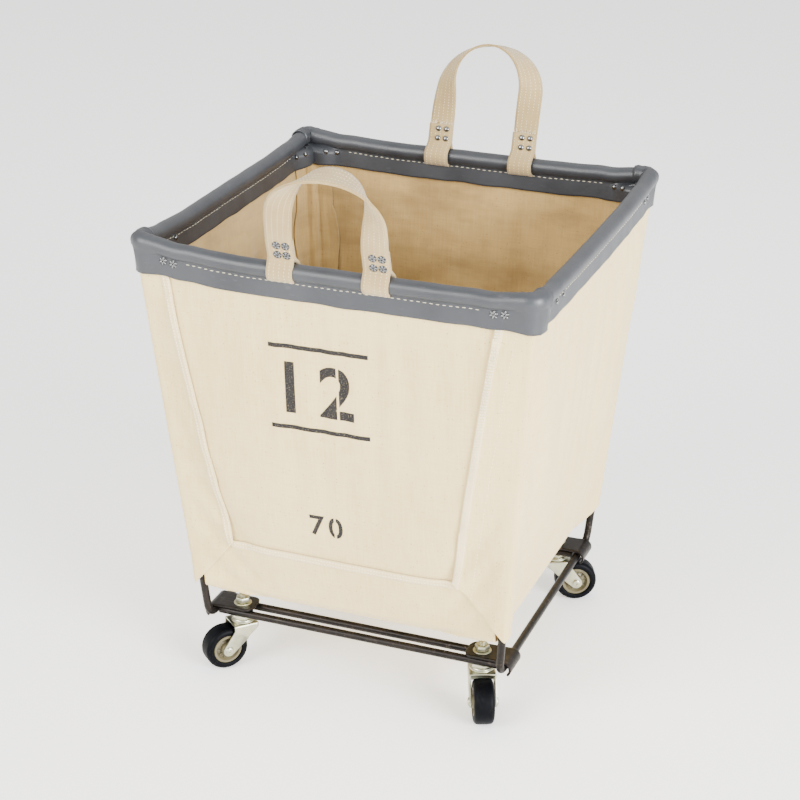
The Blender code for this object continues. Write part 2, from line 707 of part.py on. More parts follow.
def makeCore(corner, wheel, finish):
    """The plastic wheel centre: a hub, a recessed web and a rim ring."""
    bore = axleRadius + holeSlack
    hub = forkInner - hubSideGap
    half = coreWidth / 2
    web = half - coreRecess
    ring = [(bore, -hub), (bore, hub), (hubRadius, hub), (hubRadius, web), (coreRadius - coreRim, web),
            (coreRadius - coreRim, half), (coreRadius, half), (coreRadius, -half), (coreRadius - coreRim, -half),
            (coreRadius - coreRim, -web), (hubRadius, -web), (hubRadius, -hub)]
    piece = place("core_" + corner, turned("core", ring, 20), finish, wheel, 35)
    piece.rotation_euler = (math.radians(90), 0, 0)


def makeTyre(corner, wheel, finish):
    """A rubber ring with round shoulders and one flat facet on the floor."""
    half = tyreWidth / 2
    inner = coreRadius + gap
    outer = wheelRadius
    shoulder = arc((outer - tyreShoulder, half - tyreShoulder), tyreShoulder, 0, 90, 3)
    ring = [(inner, -half), (inner, half)]
    ring += [(radius, height) for radius, height in reversed(shoulder)]
    ring += [(radius, -height) for radius, height in shoulder]
    turn = math.radians(90) + math.pi / tyreFacets
    piece = place("tyre_" + corner, turned("tyre", ring, tyreFacets, turn), finish, wheel, 35)
    piece.rotation_euler = (math.radians(90), 0, 0)


def makeCaster(corner, finishes):
    signX, signY = cornerSigns[corner]
    makePlate(corner, finishes["steel"])
    makeStem(corner, finishes["zinc"])
    makeWasherAndNut(corner, finishes["zinc"])
    swivel = bpy.data.objects.new("swivel_axis_" + corner, None)
    swivel.location = (signX * stemX, signY * stemY, 0)
    swivel.rotation_euler = (0, 0, math.radians(swivelAngles[corner]))
    bpy.context.collection.objects.link(swivel)
    wheel = bpy.data.objects.new("wheel_axis_" + corner, None)
    wheel.parent = swivel
    wheel.location = (trail, 0, axleHeight)
    bpy.context.collection.objects.link(wheel)
    makeFork(corner, swivel, finishes["zinc"])
    makeRaceway(corner, swivel, finishes["zinc"])
    makeAxle(corner, wheel, finishes["zinc"])
    makeCore(corner, wheel, finishes["core"])
    makeTyre(corner, wheel, finishes["rubber"])


# ---------------------------------------------------------------- handles
def strapPath():
    """Half of a strap as (across, outward, up, twist, bend) from its cut end to the top of the arch.

    Twist turns the ribbon from facing outwards to facing the inside of the arch.
    """
    meet = strapThickness / 2 + gap / 2
    reach = math.hypot(meet, pinchHeight)
    tangent = math.degrees(math.atan2(meet, pinchHeight) + math.acos(loopRadius / reach))
    side = -handleHalfSpan
    half = [(side, -meet, lapHeight, 0, 0), (side, -meet, pinchHeight, 0, 0)]
    for a, b in arc((0, 0), loopRadius, 90 + tangent, 450 - tangent, 14):
        half.append((side, a, b, 0, 0))
    half += [(side, meet, pinchHeight, 0, 0), (side, meet, lapHeight, 0, 0)]
    rise = handleHeight - handleHalfSpan - strapThickness / 2
    steps = 22
    for i in range(1, steps + 1):
        share = i / steps
        run = share * (rise - lapHeight + handleHalfSpan * math.pi / 2)
        twist = 90 * (3 * share ** 2 - 2 * share ** 3)
        outward = meet * (1 - share)
        if run < rise - lapHeight:
            half.append((side, outward, lapHeight + run, twist, 0))
            continue
        bend = (run - (rise - lapHeight)) / handleHalfSpan
        half.append((side * math.cos(bend), outward, rise + handleHalfSpan * math.sin(bend), twist,
                     math.degrees(bend)))
    return half


def makeHandle(name, signY, middle, lean, finish):
    """A strap looped under the rim roll at both ends and twisted into an arch."""
    pivot = bpy.data.objects.new(name + "_axis", None)
    pivot.location = (middle, signY * rimHalfY, rimHeight)
    bpy.context.collection.objects.link(pivot)
    half = strapPath()
    stations = [(x, w, v, twist, bend, 1) for x, w, v, twist, bend in half]
    stations += [(-x, w, v, twist, bend, -1) for x, w, v, twist, bend in reversed(half[:-1])]
    centres = [Vector((x, w, v)) for x, w, v, *rest in stations]
    points, faces = [], []
    for i, (x, w, v, twist, bend, side) in enumerate(stations):
        along = (centres[min(i + 1, len(centres) - 1)] - centres[max(i - 1, 0)]).normalized()
        width = Vector((math.cos(math.radians(twist)) * side, -math.sin(math.radians(twist)), 0))
        width = Matrix.Rotation(math.radians(bend * side), 3, "Y") @ width
        width = (width - along * width.dot(along)).normalized()
        normal = along.cross(width)
        for a, b in ((-1, -1), (1, -1), (1, 1), (-1, 1)):
            points.append(centres[i] + width * (a * strapWidth / 2) + normal * (b * strapThickness / 2))
    for i in range(len(stations) - 1):
        for k in range(4):
            n = (k + 1) % 4
            faces.append([4 * i + k, 4 * i + n, 4 * i + 4 + n, 4 * i + 4 + k])
    last = 4 * (len(stations) - 1)
    faces += [[0, 1, 2, 3], [last, last + 1, last + 2, last + 3]]
    tilt = math.radians(lean)
    turnedPoints = []
    for point in points:
        outward = point.y * math.cos(tilt) + point.z * math.sin(tilt)
        up = point.z * math.cos(tilt) - point.y * math.sin(tilt)
        turnedPoints.append((point.x, signY * outward, up))
    place(name, meshFrom(name, turnedPoints, faces), finish, pivot, 40)


def main():
    for old in list(bpy.data.objects):
        bpy.data.objects.remove(old, do_unlink=True)
    finishes = {
        "steel": material("dark_steel", (0.045, 0.038, 0.034), 0.45, 0.6),
        "zinc": material("zinc", (0.62, 0.62, 0.55), 0.3, 1.0),
        "rubber": material("black_rubber", (0.012, 0.013, 0.017), 0.6),
        "core": material("olive_plastic", (0.30, 0.27, 0.20), 0.45),
        "canvas": material("cream_canvas", (0.80, 0.70, 0.55), 0.9),
        "vinyl": material("grey_vinyl", (0.14, 0.15, 0.16), 0.4),
        "webbing": material("cotton_webbing", (0.76, 0.67, 0.53), 0.9),
    }
    makeRimRod(finishes["steel"])
    frontSlits = makeSlits("slit_front_", -1, frontHandleX, finishes["canvas"])
    backSlits = makeSlits("slit_back_", 1, backHandleX, finishes["canvas"])
    makeCanvasBody(finishes["canvas"])
    makePanel("front_panel", -1, finishes["canvas"], frontSlits)
    makePanel("back_panel", 1, finishes["canvas"], backSlits)
    makeBinding("binding_front", True, -1, finishes["vinyl"], frontSlits)
    makeBinding("binding_back", True, 1, finishes["vinyl"], backSlits)
    makeBinding("binding_left", False, -1, finishes["vinyl"])
    makeBinding("binding_right", False, 1, finishes["vinyl"])
    makeSleeves(finishes["canvas"])
    makeSideWires(finishes["steel"])
    makeCrossRods(finishes["steel"])
    for corner in cornerSigns:
        makeCaster(corner, finishes)
    makeHandle("front_handle", -1, frontHandleX, handleLean, finishes["webbing"])
    makeHandle("back_handle", 1, backHandleX, handleLean, finishes["webbing"])


main()
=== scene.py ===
import json
import math
import random
import bmesh
import bpy
from mathutils import Matrix, Vector, noise
from mathutils.bvhtree import BVHTree


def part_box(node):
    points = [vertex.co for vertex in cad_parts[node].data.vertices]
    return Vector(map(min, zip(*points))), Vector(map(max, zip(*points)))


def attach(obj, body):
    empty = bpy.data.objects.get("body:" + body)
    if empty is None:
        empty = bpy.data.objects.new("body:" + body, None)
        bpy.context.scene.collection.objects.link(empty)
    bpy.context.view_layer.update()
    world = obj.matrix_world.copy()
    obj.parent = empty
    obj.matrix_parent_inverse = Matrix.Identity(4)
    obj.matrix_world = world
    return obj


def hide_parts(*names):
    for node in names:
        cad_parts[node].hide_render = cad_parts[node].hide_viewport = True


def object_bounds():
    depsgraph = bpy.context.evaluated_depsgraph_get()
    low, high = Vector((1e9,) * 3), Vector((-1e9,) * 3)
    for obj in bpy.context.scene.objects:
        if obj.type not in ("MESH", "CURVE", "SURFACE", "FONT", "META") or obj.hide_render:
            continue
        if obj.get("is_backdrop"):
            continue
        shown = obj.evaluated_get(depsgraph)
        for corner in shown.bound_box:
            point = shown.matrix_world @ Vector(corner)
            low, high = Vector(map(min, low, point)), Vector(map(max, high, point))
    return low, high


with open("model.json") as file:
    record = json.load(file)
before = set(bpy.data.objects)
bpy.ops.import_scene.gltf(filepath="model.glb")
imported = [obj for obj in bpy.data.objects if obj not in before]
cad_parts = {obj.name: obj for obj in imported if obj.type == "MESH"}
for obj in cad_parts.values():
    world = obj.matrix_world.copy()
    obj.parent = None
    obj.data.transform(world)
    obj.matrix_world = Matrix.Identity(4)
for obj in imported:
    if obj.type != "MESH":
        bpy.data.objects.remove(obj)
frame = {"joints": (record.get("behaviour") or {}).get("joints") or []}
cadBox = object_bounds()
print("frame loaded")

# places that every piece shares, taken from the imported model
rodLow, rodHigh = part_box("rim_rod")
rodRadius = (rodHigh.z - rodLow.z) / 2
rim = Vector((rodHigh.x - rodRadius, rodHigh.y - rodRadius, (rodHigh.z + rodLow.z) / 2))
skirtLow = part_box("binding_front")[0].z
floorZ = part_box("canvas_body")[0].z
wireRadius = (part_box("cross_rod_front_outer")[1].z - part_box("cross_rod_front_outer")[0].z) / 2
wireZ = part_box("cross_rod_front_outer")[0].z + wireRadius
corners = {"fl": (-1, -1), "fr": (1, -1), "bl": (-1, 1), "br": (1, 1)}
joints = {joint["name"]: joint for joint in frame["joints"]}
dice = random.Random(7)


# ---- helpers
def smoothStep(value):
    value = min(1.0, max(0.0, value))
    return value * value * (3 - 2 * value)


def mixed(first, second, share):
    return first + (second - first) * share


def gridSheet(columns, rows):
    work = bmesh.new()
    bmesh.ops.create_grid(work, x_segments=columns, y_segments=rows, size=0.5)
    return work


def everything(work):
    return work.verts[:] + work.edges[:] + work.faces[:]


def cutPlane(work, spot, normal, geom=None, **settings):
    bmesh.ops.bisect_plane(work, geom=geom or everything(work), plane_co=spot, plane_no=normal, **settings)


def around(faces):
    # faces with their edges and corners
    edges = {edge for face in faces for edge in face.edges}
    verts = {vert for face in faces for vert in face.verts}
    return faces + list(edges) + list(verts)


def writeUv(work, reader):
    layer = work.loops.layers.uv.verify()
    for face in work.faces:
        for loop in face.loops:
            loop[layer].uv = reader(loop.vert, face)


def addPiece(name, work, finish, body="root", stands=(), crease=40):
    mesh = bpy.data.meshes.new(name)
    work.to_mesh(mesh)
    work.free()
    if mesh.uv_layers:
        mesh.uv_layers[0].name = "cloth"
    mesh.materials.append(finish)
    mesh.shade_smooth()
    mesh.set_sharp_from_angle(angle=math.radians(crease))
    piece = bpy.data.objects.new(name, mesh)
    bpy.context.collection.objects.link(piece)
    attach(piece, body)
    if stands:
        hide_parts(*stands)
    return piece


def thicken(piece, thickness, offset=0.0):
    step = piece.modifiers.new("thickness", "SOLIDIFY")
    step.thickness = thickness
    step.offset = offset
    step.use_even_offset = True
    step.use_quality_normals = True


def turnedInto(work, profile, steps, place):
    # a (radius, height) profile spun about the local Z axis, then put in place
    part = bmesh.new()
    line = [part.verts.new((radius, 0, height)) for radius, height in profile]
    edges = [part.edges.new(pair) for pair in zip(line, line[1:])]
    bmesh.ops.spin(part, geom=line + edges, cent=(0, 0, 0), axis=(0, 0, 1), angle=2 * math.pi,
                   steps=steps, use_merge=True)
    bmesh.ops.remove_doubles(part, verts=part.verts, dist=1e-6)
    bmesh.ops.recalc_face_normals(part, faces=part.faces)
    bmesh.ops.transform(part, matrix=place, verts=part.verts)
    joinInto(work, part)


def turnedPiece(name, profile, steps, place, finish, body, node, crease=40):
    work = bmesh.new()
    turnedInto(work, profile, steps, place)
    return addPiece(name, work, finish, body, [node], crease)


def bevelled(work, edges, offset, segments):
    bmesh.ops.bevel(work, geom=edges, offset=offset, segments=segments, profile=0.5, affect="EDGES",
                    material=-1)


def softEdge(piece, width, limit):
    edge = piece.modifiers.new("edge", "BEVEL")
    edge.width = width
    edge.segments = 2
    edge.limit_method = "ANGLE"
    edge.angle_limit = math.radians(limit)


def joinInto(work, part):
    mesh = bpy.data.meshes.new("part")
    part.to_mesh(mesh)
    part.free()
    work.from_mesh(mesh)
    bpy.data.meshes.remove(mesh)


def rodInto(work, points, radius, closed=False, fullness=4):
    # a round rod along a line of points
    data = bpy.data.curves.new("rod", "CURVE")
    data.dimensions = "3D"
    data.bevel_depth = radius
    data.bevel_resolution = fullness
    data.use_fill_caps = not closed
    spline = data.splines.new("POLY")
    spline.points.add(len(points) - 1)
    for spot, point in zip(spline.points, points):
        spot.co = (*point, 1.0)
    spline.use_cyclic_u = closed
    holder = bpy.data.objects.new("rod", data)
    mesh = bpy.data.meshes.new_from_object(holder)
    work.from_mesh(mesh)
    bpy.data.objects.remove(holder)
    bpy.data.curves.remove(data)
    bpy.data.meshes.remove(mesh)
    bmesh.ops.remove_doubles(work, verts=work.verts, dist=1e-6)


def filletPath(before, corner, after, radius, steps):
    towards = (before - corner).normalized()
    onward = (after - corner).normalized()
    half = towards.angle(onward) / 2
    centre = corner + (towards + onward).normalized() * (radius / math.sin(half))
    start = corner + towards * (radius / math.tan(half)) - centre
    end = corner + onward * (radius / math.tan(half)) - centre
    axis = start.cross(end).normalized()
    sweep = start.angle(end)
    return [centre + Matrix.Rotation(sweep * i / steps, 3, axis) @ start for i in range(steps + 1)]


def axesMatrix(spot, along, normal, size=(1, 1, 1)):
    # local X along, local Z on the normal
    along = along.normalized()
    side = normal.cross(along).normalized()
    up = along.cross(side)
    turn = Matrix((along, side, up)).transposed().to_4x4()
    return Matrix.Translation(spot) @ turn @ Matrix.Diagonal((*size, 1))


def stitchInto(work, spot, along, normal, size):
    bmesh.ops.create_icosphere(work, subdivisions=1, radius=0.5, matrix=axesMatrix(spot, along, normal, size))


# ---- shader helpers
class Wire:
    def __init__(self, finish, socket):
        self.finish = finish
        self.socket = socket

    def combine(self, operation, first, second):
        return self.finish.node("Math", {"operation": operation}, {0: first, 1: second})

    def __add__(self, other):
        return self.combine("ADD", self, other)

    def __radd__(self, other):
        return self.combine("ADD", other, self)

    def __sub__(self, other):
        return self.combine("SUBTRACT", self, other)

    def __rsub__(self, other):
        return self.combine("SUBTRACT", other, self)

    def __mul__(self, other):
        return self.combine("MULTIPLY", self, other)

    def __rmul__(self, other):
        return self.combine("MULTIPLY", other, self)

    def __gt__(self, other):
        return self.combine("GREATER_THAN", self, other)

    def __lt__(self, other):
        return self.combine("LESS_THAN", self, other)

    def sine(self):
        return self.finish.node("Math", {"operation": "SINE"}, {0: self})

    def span(self, low, high):
        # 0 below low, 1 above high
        limits = {"Value": self, "From Min": low, "From Max": high}
        return self.finish.node("MapRange", {"clamp": True}, limits)


class Finish:
    def __init__(self, name, constants):
        self.material = bpy.data.materials.new(name)
        self.material.use_nodes = True
        self.nodes = self.material.node_tree.nodes
        self.links = self.material.node_tree.links
        self.shader = self.nodes["Principled BSDF"]
        for key, value in constants.items():
            self.shader.inputs[key].default_value = value

    def node(self, kind, settings, sockets, out=0):
        made = self.nodes.new("ShaderNode" + kind)
        for key, value in settings.items():
            setattr(made, key, value)
        for key, value in sockets.items():
            if isinstance(value, Wire):
                self.links.new(value.socket, made.inputs[key])
            else:
                made.inputs[key].default_value = value
        return Wire(self, made.outputs[out])

    def place(self):
        return self.node("TexCoord", {}, {}, "Object")

    def cloth(self):
        return self.node("UVMap", {"uv_map": "cloth"}, {})

    def scaled(self, vector, size):
        return self.node("Mapping", {}, {"Vector": vector, "Scale": size})

    def cloud(self, vector, scale, detail=3.0, rough=0.55):
        values = {"Vector": vector, "Scale": scale, "Detail": detail, "Roughness": rough}
        return self.node("TexNoise", {}, values)

    def cells(self, vector, scale, out="Distance"):
        return self.node("TexVoronoi", {}, {"Vector": vector, "Scale": scale}, out)

    def part(self, vector, out):
        return self.node("SeparateXYZ", {}, {0: vector}, out)

    def mixColour(self, share, first, second):
        return self.node("Mix", {"data_type": "RGBA"}, {0: share, 6: first, 7: second}, 2)

    def feed(self, name, wire):
        self.links.new(wire.socket, self.shader.inputs[name])

    def bump(self, height, strength, distance):
        values = {"Height": height, "Strength": strength, "Distance": distance}
        self.feed("Normal", self.node("Bump", {}, values))
        return self.material


def colour(red, green, blue):
    # from a colour as seen on a screen, 0 to 255
    parts = [(value / 255 + 0.055) / 1.055 if value > 10 else value / 3294 for value in (red, green, blue)]
    return (*[part ** 2.4 if value > 10 else part for part, value in zip(parts, (red, green, blue))], 1.0)


def weaveHeight(finish, pitch, place):
    turns = 2 * math.pi / pitch
    wander = finish.cloud(finish.place(), 220.0, 2.0) * 1.6
    across = (finish.part(place, "X") * turns + wander).sine()
    down = (finish.part(place, "Y") * turns + wander).sine()
    return across * down


def canvasFinish(name, look):
    finish = Finish(name, {"Sheen Weight": 0.25, "Sheen Roughness": 0.6, "Specular IOR Level": 0.25})
    place = finish.place()
    cloth = finish.cloth()
    broad = finish.cloud(place, 5.0, 4.0).span(0.3, 0.7)
    slub = finish.cloud(finish.scaled(cloth, (420.0, 26.0, 1.0)), 1.0, 2.0).span(0.35, 0.75)
    weft = finish.cloud(finish.scaled(cloth, (30.0, 520.0, 1.0)), 1.0, 2.0).span(0.35, 0.75)
    body = finish.mixColour(broad * 0.6, look["light"], look["mid"])
    body = finish.mixColour(finish.cloud(place, 62.0, 5.0, 0.7).span(0.42, 0.68) * 0.3, body, look["mid"])
    body = finish.mixColour(slub * 0.34, body, look["pale"])
    body = finish.mixColour(weft * look["weft"], body, look["stainAndShade"])
    for turn, (reach, chosen, strength) in enumerate(((0.10, 0.45, 0.42), (0.15, 0.84, 0.6))):
        grid = finish.scaled(place, (1.0, 1.3, 0.7 + turn * 0.5))
        spot = finish.cells(grid, look["flecks"] * (1 + turn * 0.37)) < reach
        pick = finish.part(finish.cells(grid, look["flecks"] * (1 + turn * 0.37), "Color"), "X") > chosen
        body = finish.mixColour(spot * pick * strength, body, look["fleck"])
    # large soft darker blotches: stains in the cloth
    stainAndShade = finish.cloud(place, 2.3, 5.0, 0.65).span(0.58, 0.8)
    body = finish.mixColour(stainAndShade * 0.45, body, look["stainAndShade"])
    # painted shade: soft darker blotches, drawn out up the walls, stand in for the shading of cloth folds;
    # faint outside, strong on the inside copy
    slack = finish.cloud(finish.scaled(place, (10.0, 10.0, 25.0)), 1.0, 3.0, 0.6).span(0.46, 0.72)
    body = finish.mixColour(slack * look["slack"], body, look["stainAndShade"])
    finish.feed("Base Color", body)
    finish.feed("Roughness", 0.86 + broad * 0.08)
    height = weaveHeight(finish, look["pitch"], cloth) * 0.5 + slub * 0.7 + weft * 0.6
    return finish.bump(height, look["bump"], 0.0003)


def vinylFinish():
    finish = Finish("grey_vinyl", {"Specular IOR Level": 0.5})
    place = finish.place()
    grain = finish.cells(place, 950.0)
    cloudy = finish.cloud(place, 14.0, 4.0).span(0.3, 0.7)
    scuff = finish.cloud(finish.scaled(place, (60.0, 60.0, 200.0)), 1.0, 3.0, 0.7).span(0.62, 0.8)
    tone = finish.mixColour(cloudy, colour(38, 40, 44), colour(51, 53, 57))
    finish.feed("Base Color", finish.mixColour(scuff * 0.25, tone, colour(96, 98, 102)))
    finish.feed("Roughness", 0.38 + cloudy * 0.08 + scuff * 0.15)
    return finish.bump(grain * 0.35 + finish.cloud(place, 90.0, 2.0) * 1.2, 0.35, 0.0004)


def webbingFinish():
    finish = Finish("cotton_webbing", {"Sheen Weight": 0.25, "Sheen Roughness": 0.6,
                                       "Specular IOR Level": 0.25})
    cloth = finish.cloth()
    place = finish.place()
    across = finish.part(cloth, "X")
    down = finish.part(cloth, "Y")
    warp = (across * (2 * math.pi / 0.0012)).sine()
    weft = (down * (2 * math.pi / 0.0016) + warp * 1.2).sine()
    broad = finish.cloud(place, 20.0, 4.0).span(0.3, 0.7)
    tone = finish.mixColour(broad, colour(172, 149, 101), colour(148, 124, 79))
    tone = finish.mixColour(weft.span(-0.2, 1.0) * 0.35, tone, colour(150, 122, 78))
    fleck = finish.cells(place, 210.0) < 0.13
    fleck = fleck * (finish.part(finish.cells(place, 210.0, "Color"), "Y") > 0.6)
    finish.feed("Base Color", finish.mixColour(fleck * 0.6, tone, colour(132, 102, 62)))
    finish.feed("Roughness", 0.84 + broad * 0.1)
    return finish.bump(warp * 0.35 + weft * 0.5, 0.55, 0.00035)


def threadFinish(name, tint):
    finish = Finish(name, {"Sheen Weight": 0.3, "Specular IOR Level": 0.3})
    place = finish.place()
    broad = finish.cloud(place, 300.0, 2.0)
    finish.feed("Base Color", finish.mixColour(broad, tint, colour(238, 228, 200)))
    finish.feed("Roughness", 0.7 + broad * 0.2)
    return finish.bump(finish.cloud(place, 2600.0, 1.0), 0.4, 0.0002)


def blackSteelFinish():
    finish = Finish("dark_steel", {"Specular IOR Level": 0.5})
    place = finish.place()
    broad = finish.cloud(place, 26.0, 5.0).span(0.35, 0.65)
    streak = finish.cloud(finish.scaled(place, (30.0, 420.0, 420.0)), 1.0, 3.0).span(0.6, 0.8)
    worn = finish.cloud(place, 140.0, 4.0, 0.7).span(0.6, 0.72)
    tone = finish.mixColour(broad, colour(16, 14, 13), colour(34, 29, 26))
    tone = finish.mixColour(streak * 0.45, tone, colour(92, 84, 76))
    finish.feed("Base Color", finish.mixColour(worn * 0.5, tone, colour(78, 62, 48)))
    finish.feed("Metallic", 0.75 - worn * 0.5)
    finish.feed("Roughness", 0.34 + broad * 0.16 + worn * 0.2)
    return finish.bump(broad * 0.5 + worn * 0.6, 0.3, 0.0004)


def zincFinish():
    finish = Finish("zinc", {})
    place = finish.place()
    patch = finish.cells(place, 170.0, "Color")
    broad = finish.cloud(place, 40.0, 4.0).span(0.3, 0.7)
    brushed = finish.cloud(finish.scaled(place, (600.0, 600.0, 50.0)), 1.0, 2.0)
    tone = finish.mixColour(broad, colour(186, 188, 174), colour(150, 152, 130))
    tone = finish.mixColour(finish.part(patch, "X") * 0.3, tone, colour(206, 196, 150))
    finish.feed("Base Color", tone)
    finish.feed("Metallic", 1.0 - finish.cloud(place, 90.0, 4.0, 0.7).span(0.66, 0.8) * 0.5)
    finish.feed("Roughness", 0.24 + broad * 0.14 + brushed * 0.08)
    return finish.bump(brushed + broad, 0.12, 0.0003)


def rivetFinish():
    finish = Finish("rivet_nickel", {})
    place = finish.place()
    broad = finish.cloud(place, 400.0, 3.0)
    finish.feed("Base Color", finish.mixColour(broad, colour(92, 93, 94), colour(142, 143, 143)))
    finish.feed("Metallic", 1.0 - broad.span(0.7, 0.9) * 0.3)
    finish.feed("Roughness", 0.2 + broad * 0.15)
    return finish.bump(broad, 0.1, 0.0002)


def rubberFinish():
    finish = Finish("black_rubber", {"Specular IOR Level": 0.06})
    place = finish.place()
    dust = finish.cloud(place, 130.0, 4.0, 0.65).span(0.55, 0.75)
    fine = finish.cloud(place, 900.0, 2.0)
    finish.feed("Base Color", finish.mixColour(dust, colour(3, 4, 7), colour(14, 15, 18)))
    finish.feed("Roughness", 0.48 + dust * 0.22)
    return finish.bump(fine + dust, 0.25, 0.0003)


def wheelPlasticFinish():
    finish = Finish("olive_plastic", {"Specular IOR Level": 0.45})
    place = finish.place()
    broad = finish.cloud(place, 80.0, 3.0).span(0.3, 0.7)
    grime = finish.cloud(place, 260.0, 4.0, 0.7).span(0.55, 0.72)
    tone = finish.mixColour(broad, colour(98, 91, 66), colour(78, 71, 50))
    finish.feed("Base Color", finish.mixColour(grime * 0.5, tone, colour(60, 55, 42)))
    finish.feed("Roughness", 0.42 + grime * 0.25)
    return finish.bump(finish.cloud(place, 1200.0, 2.0), 0.15, 0.0003)


def inkFinish():
    finish = Finish("stencil_ink", {"Specular IOR Level": 0.3})
    place = finish.place()
    thin = finish.cloud(place, 700.0, 3.0, 0.7)
    patchy = finish.cloud(place, 60.0, 3.0).span(0.35, 0.75)
    worn = thin.span(0.5, 0.8) * 0.6
    finish.feed("Base Color", finish.mixColour(worn, colour(28, 26, 25), colour(104, 94, 82)))
    finish.feed("Roughness", 0.8 + patchy * 0.1)
    finish.feed("Alpha", 1.0 - thin.span(0.58, 0.7) * (0.25 + patchy * 0.5))
    return finish.bump(thin, 0.3, 0.0003)


canvasLook = {
    "light": colour(222, 198, 137), "mid": colour(206, 178, 115), "pale": colour(235, 215, 161),
    # the darker stain colour is also the colour of the painted fold shade, whose strength is the last value
    "fleck": colour(128, 92, 50), "stainAndShade": colour(198, 170, 116), "flecks": 150.0,
    "pitch": 0.00105, "bump": 0.5, "weft": 0.30, "slack": 0.10,
}
canvas = canvasFinish("cream_canvas", canvasLook)
# a lighter copy of the canvas for the raised hem bands along the panel seams: painted highlight
hemHighlightLook = dict(canvasLook, light=colour(229, 208, 154), mid=colour(217, 192, 136), flecks=170.0)
hemHighlightCanvas = canvasFinish("hem_highlight_canvas", hemHighlightLook)
# a darker, more saturated copy of the canvas for the tub's inner faces, sleeves and hems: painted shade of the
# inside, with stronger painted fold shade
shadedInsideLook = dict(canvasLook, light=colour(186, 153, 92), mid=colour(164, 132, 74), pale=colour(200, 170, 110),
                  stainAndShade=colour(120, 92, 48), weft=0.12, slack=0.55)
shadedInsideCanvas = canvasFinish("shaded_inside_canvas", shadedInsideLook)
vinyl = vinylFinish()
webbing = webbingFinish()
thread = threadFinish("cream_thread", colour(240, 230, 202))
vinylThread = threadFinish("binding_thread", colour(190, 180, 146))
strapThread = threadFinish("strap_thread", colour(192, 172, 124))
frayedThread = threadFinish("frayed_thread", colour(190, 162, 112))
steel = blackSteelFinish()
zinc = zincFinish()
nickel = rivetFinish()
# near-black, for the painted shade between a clinched rivet's petals
rivetShade = Finish("rivet_shade", {"Base Color": (0.012, 0.012, 0.013, 1.0), "Roughness": 0.6}).material
rubber = rubberFinish()
wheelPlastic = wheelPlasticFinish()
ink = inkFinish()
print("finishes made")


# ---- camera, lights and floor
def makeStage():
    shot = {"at": (0.7570, -2.0070, 1.2307), "yaw": 20.86, "pitch": 23.55, "roll": 0.504, "lens": 92.43}
    yaw, pitch, roll = (math.radians(shot[key]) for key in ("yaw", "pitch", "roll"))
    ahead = Vector((-math.sin(yaw) * math.cos(pitch), math.cos(yaw) * math.cos(pitch), -math.sin(pitch)))
    right = Vector((math.cos(yaw), math.sin(yaw), 0))
    up = right.cross(ahead)
    level = right * math.cos(roll) + up * math.sin(roll)
    upright = up * math.cos(roll) - right * math.sin(roll)
    data = bpy.data.cameras.new("camera")
    data.lens = shot["lens"]
    data.sensor_width = 36.0
    camera = bpy.data.objects.new("camera", data)
    bpy.context.collection.objects.link(camera)
    turn = Matrix((level, upright, -ahead)).transposed().to_4x4()
    camera.matrix_world = Matrix.Translation(shot["at"]) @ turn
    bpy.context.scene.camera = camera

    lamps = {
        "key": {"at": (-1.7, -2.9, 1.9), "size": 2.0, "power": 210.0, "tint": (1.0, 0.985, 0.96)},
        "fill": {"at": (3.0, -1.5, 1.1), "size": 1.8, "power": 370.0, "tint": (0.97, 0.985, 1.0)},
        "top": {"at": (0.2, 0.9, 3.2), "size": 2.6, "power": 30.0, "tint": (1.0, 1.0, 1.0)},
    }
    for name, lamp in lamps.items():
        data = bpy.data.lights.new(name, "AREA")
        data.size = lamp["size"]
        data.energy = lamp["power"]
        data.color = lamp["tint"]
        light = bpy.data.objects.new(name, data)
        bpy.context.collection.objects.link(light)
        light.location = lamp["at"]
        aim = Vector((0, 0, 0.3)) - light.location
        light.rotation_euler = aim.to_track_quat("-Z", "Y").to_euler()
    world = bpy.data.worlds.new("studio")
    world.use_nodes = True
    world.node_tree.nodes["Background"].inputs["Color"].default_value = (1.0, 0.995, 0.985, 1.0)
    world.node_tree.nodes["Background"].inputs["Strength"].default_value = 1.32
    bpy.context.scene.world = world

    work = gridSheet(2, 2)
    bmesh.ops.scale(work, vec=(40, 40, 1), verts=work.verts)
    bmesh.ops.translate(work, vec=(0, 0, -0.0004), verts=work.verts)
    mesh = bpy.data.meshes.new("floor")
    work.to_mesh(mesh)
    work.free()
    floorFinish = Finish("pale_floor", {"Roughness": 0.9, "Base Color": (0.96, 0.96, 0.955, 1.0),
                                        "Emission Color": (1.0, 1.0, 0.995, 1.0), "Emission Strength": 0.45})
    mesh.materials.append(floorFinish.material)
    floor = bpy.data.objects.new("floor", mesh)
    bpy.context.collection.objects.link(floor)
    floor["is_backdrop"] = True


makeStage()
print("stage made")


# ---- the canvas tub
tub = {
    "bottomX": 0.1855, "bottomY": 0.1800,       # half sizes of the bottom
    "proud": 0.0017,                            # canvas outside the rim rod's middle line
    "topZ": 0.5125,
    "cornerRadius": 0.0065,
    "frontFold": 0.008, "sideFold": 0.022,      # roundness where the walls turn into the bottom
    "seamTop": rim.x - 0.0381, "seamBottom": 0.1276, "seamRise": floorZ + 0.0694, "seamCentre": -0.0027,
    "hemWidth": 0.0085, "hemLift": 0.0009,
    "overlap": 0.011, "ply": 0.0015,
    "bow": 0.0022, "spacing": 0.0085, "opening": 0.0135,
}


def wallShare(height):
    return min(1.0, max(0.0, (skirtLow - height) / (skirtLow - floorZ)))


def wallAt(height):
    share = wallShare(height)
    return (mixed(rim.x + tub["proud"], tub["bottomX"], share),
            mixed(rim.y + tub["proud"], tub["bottomY"], share))


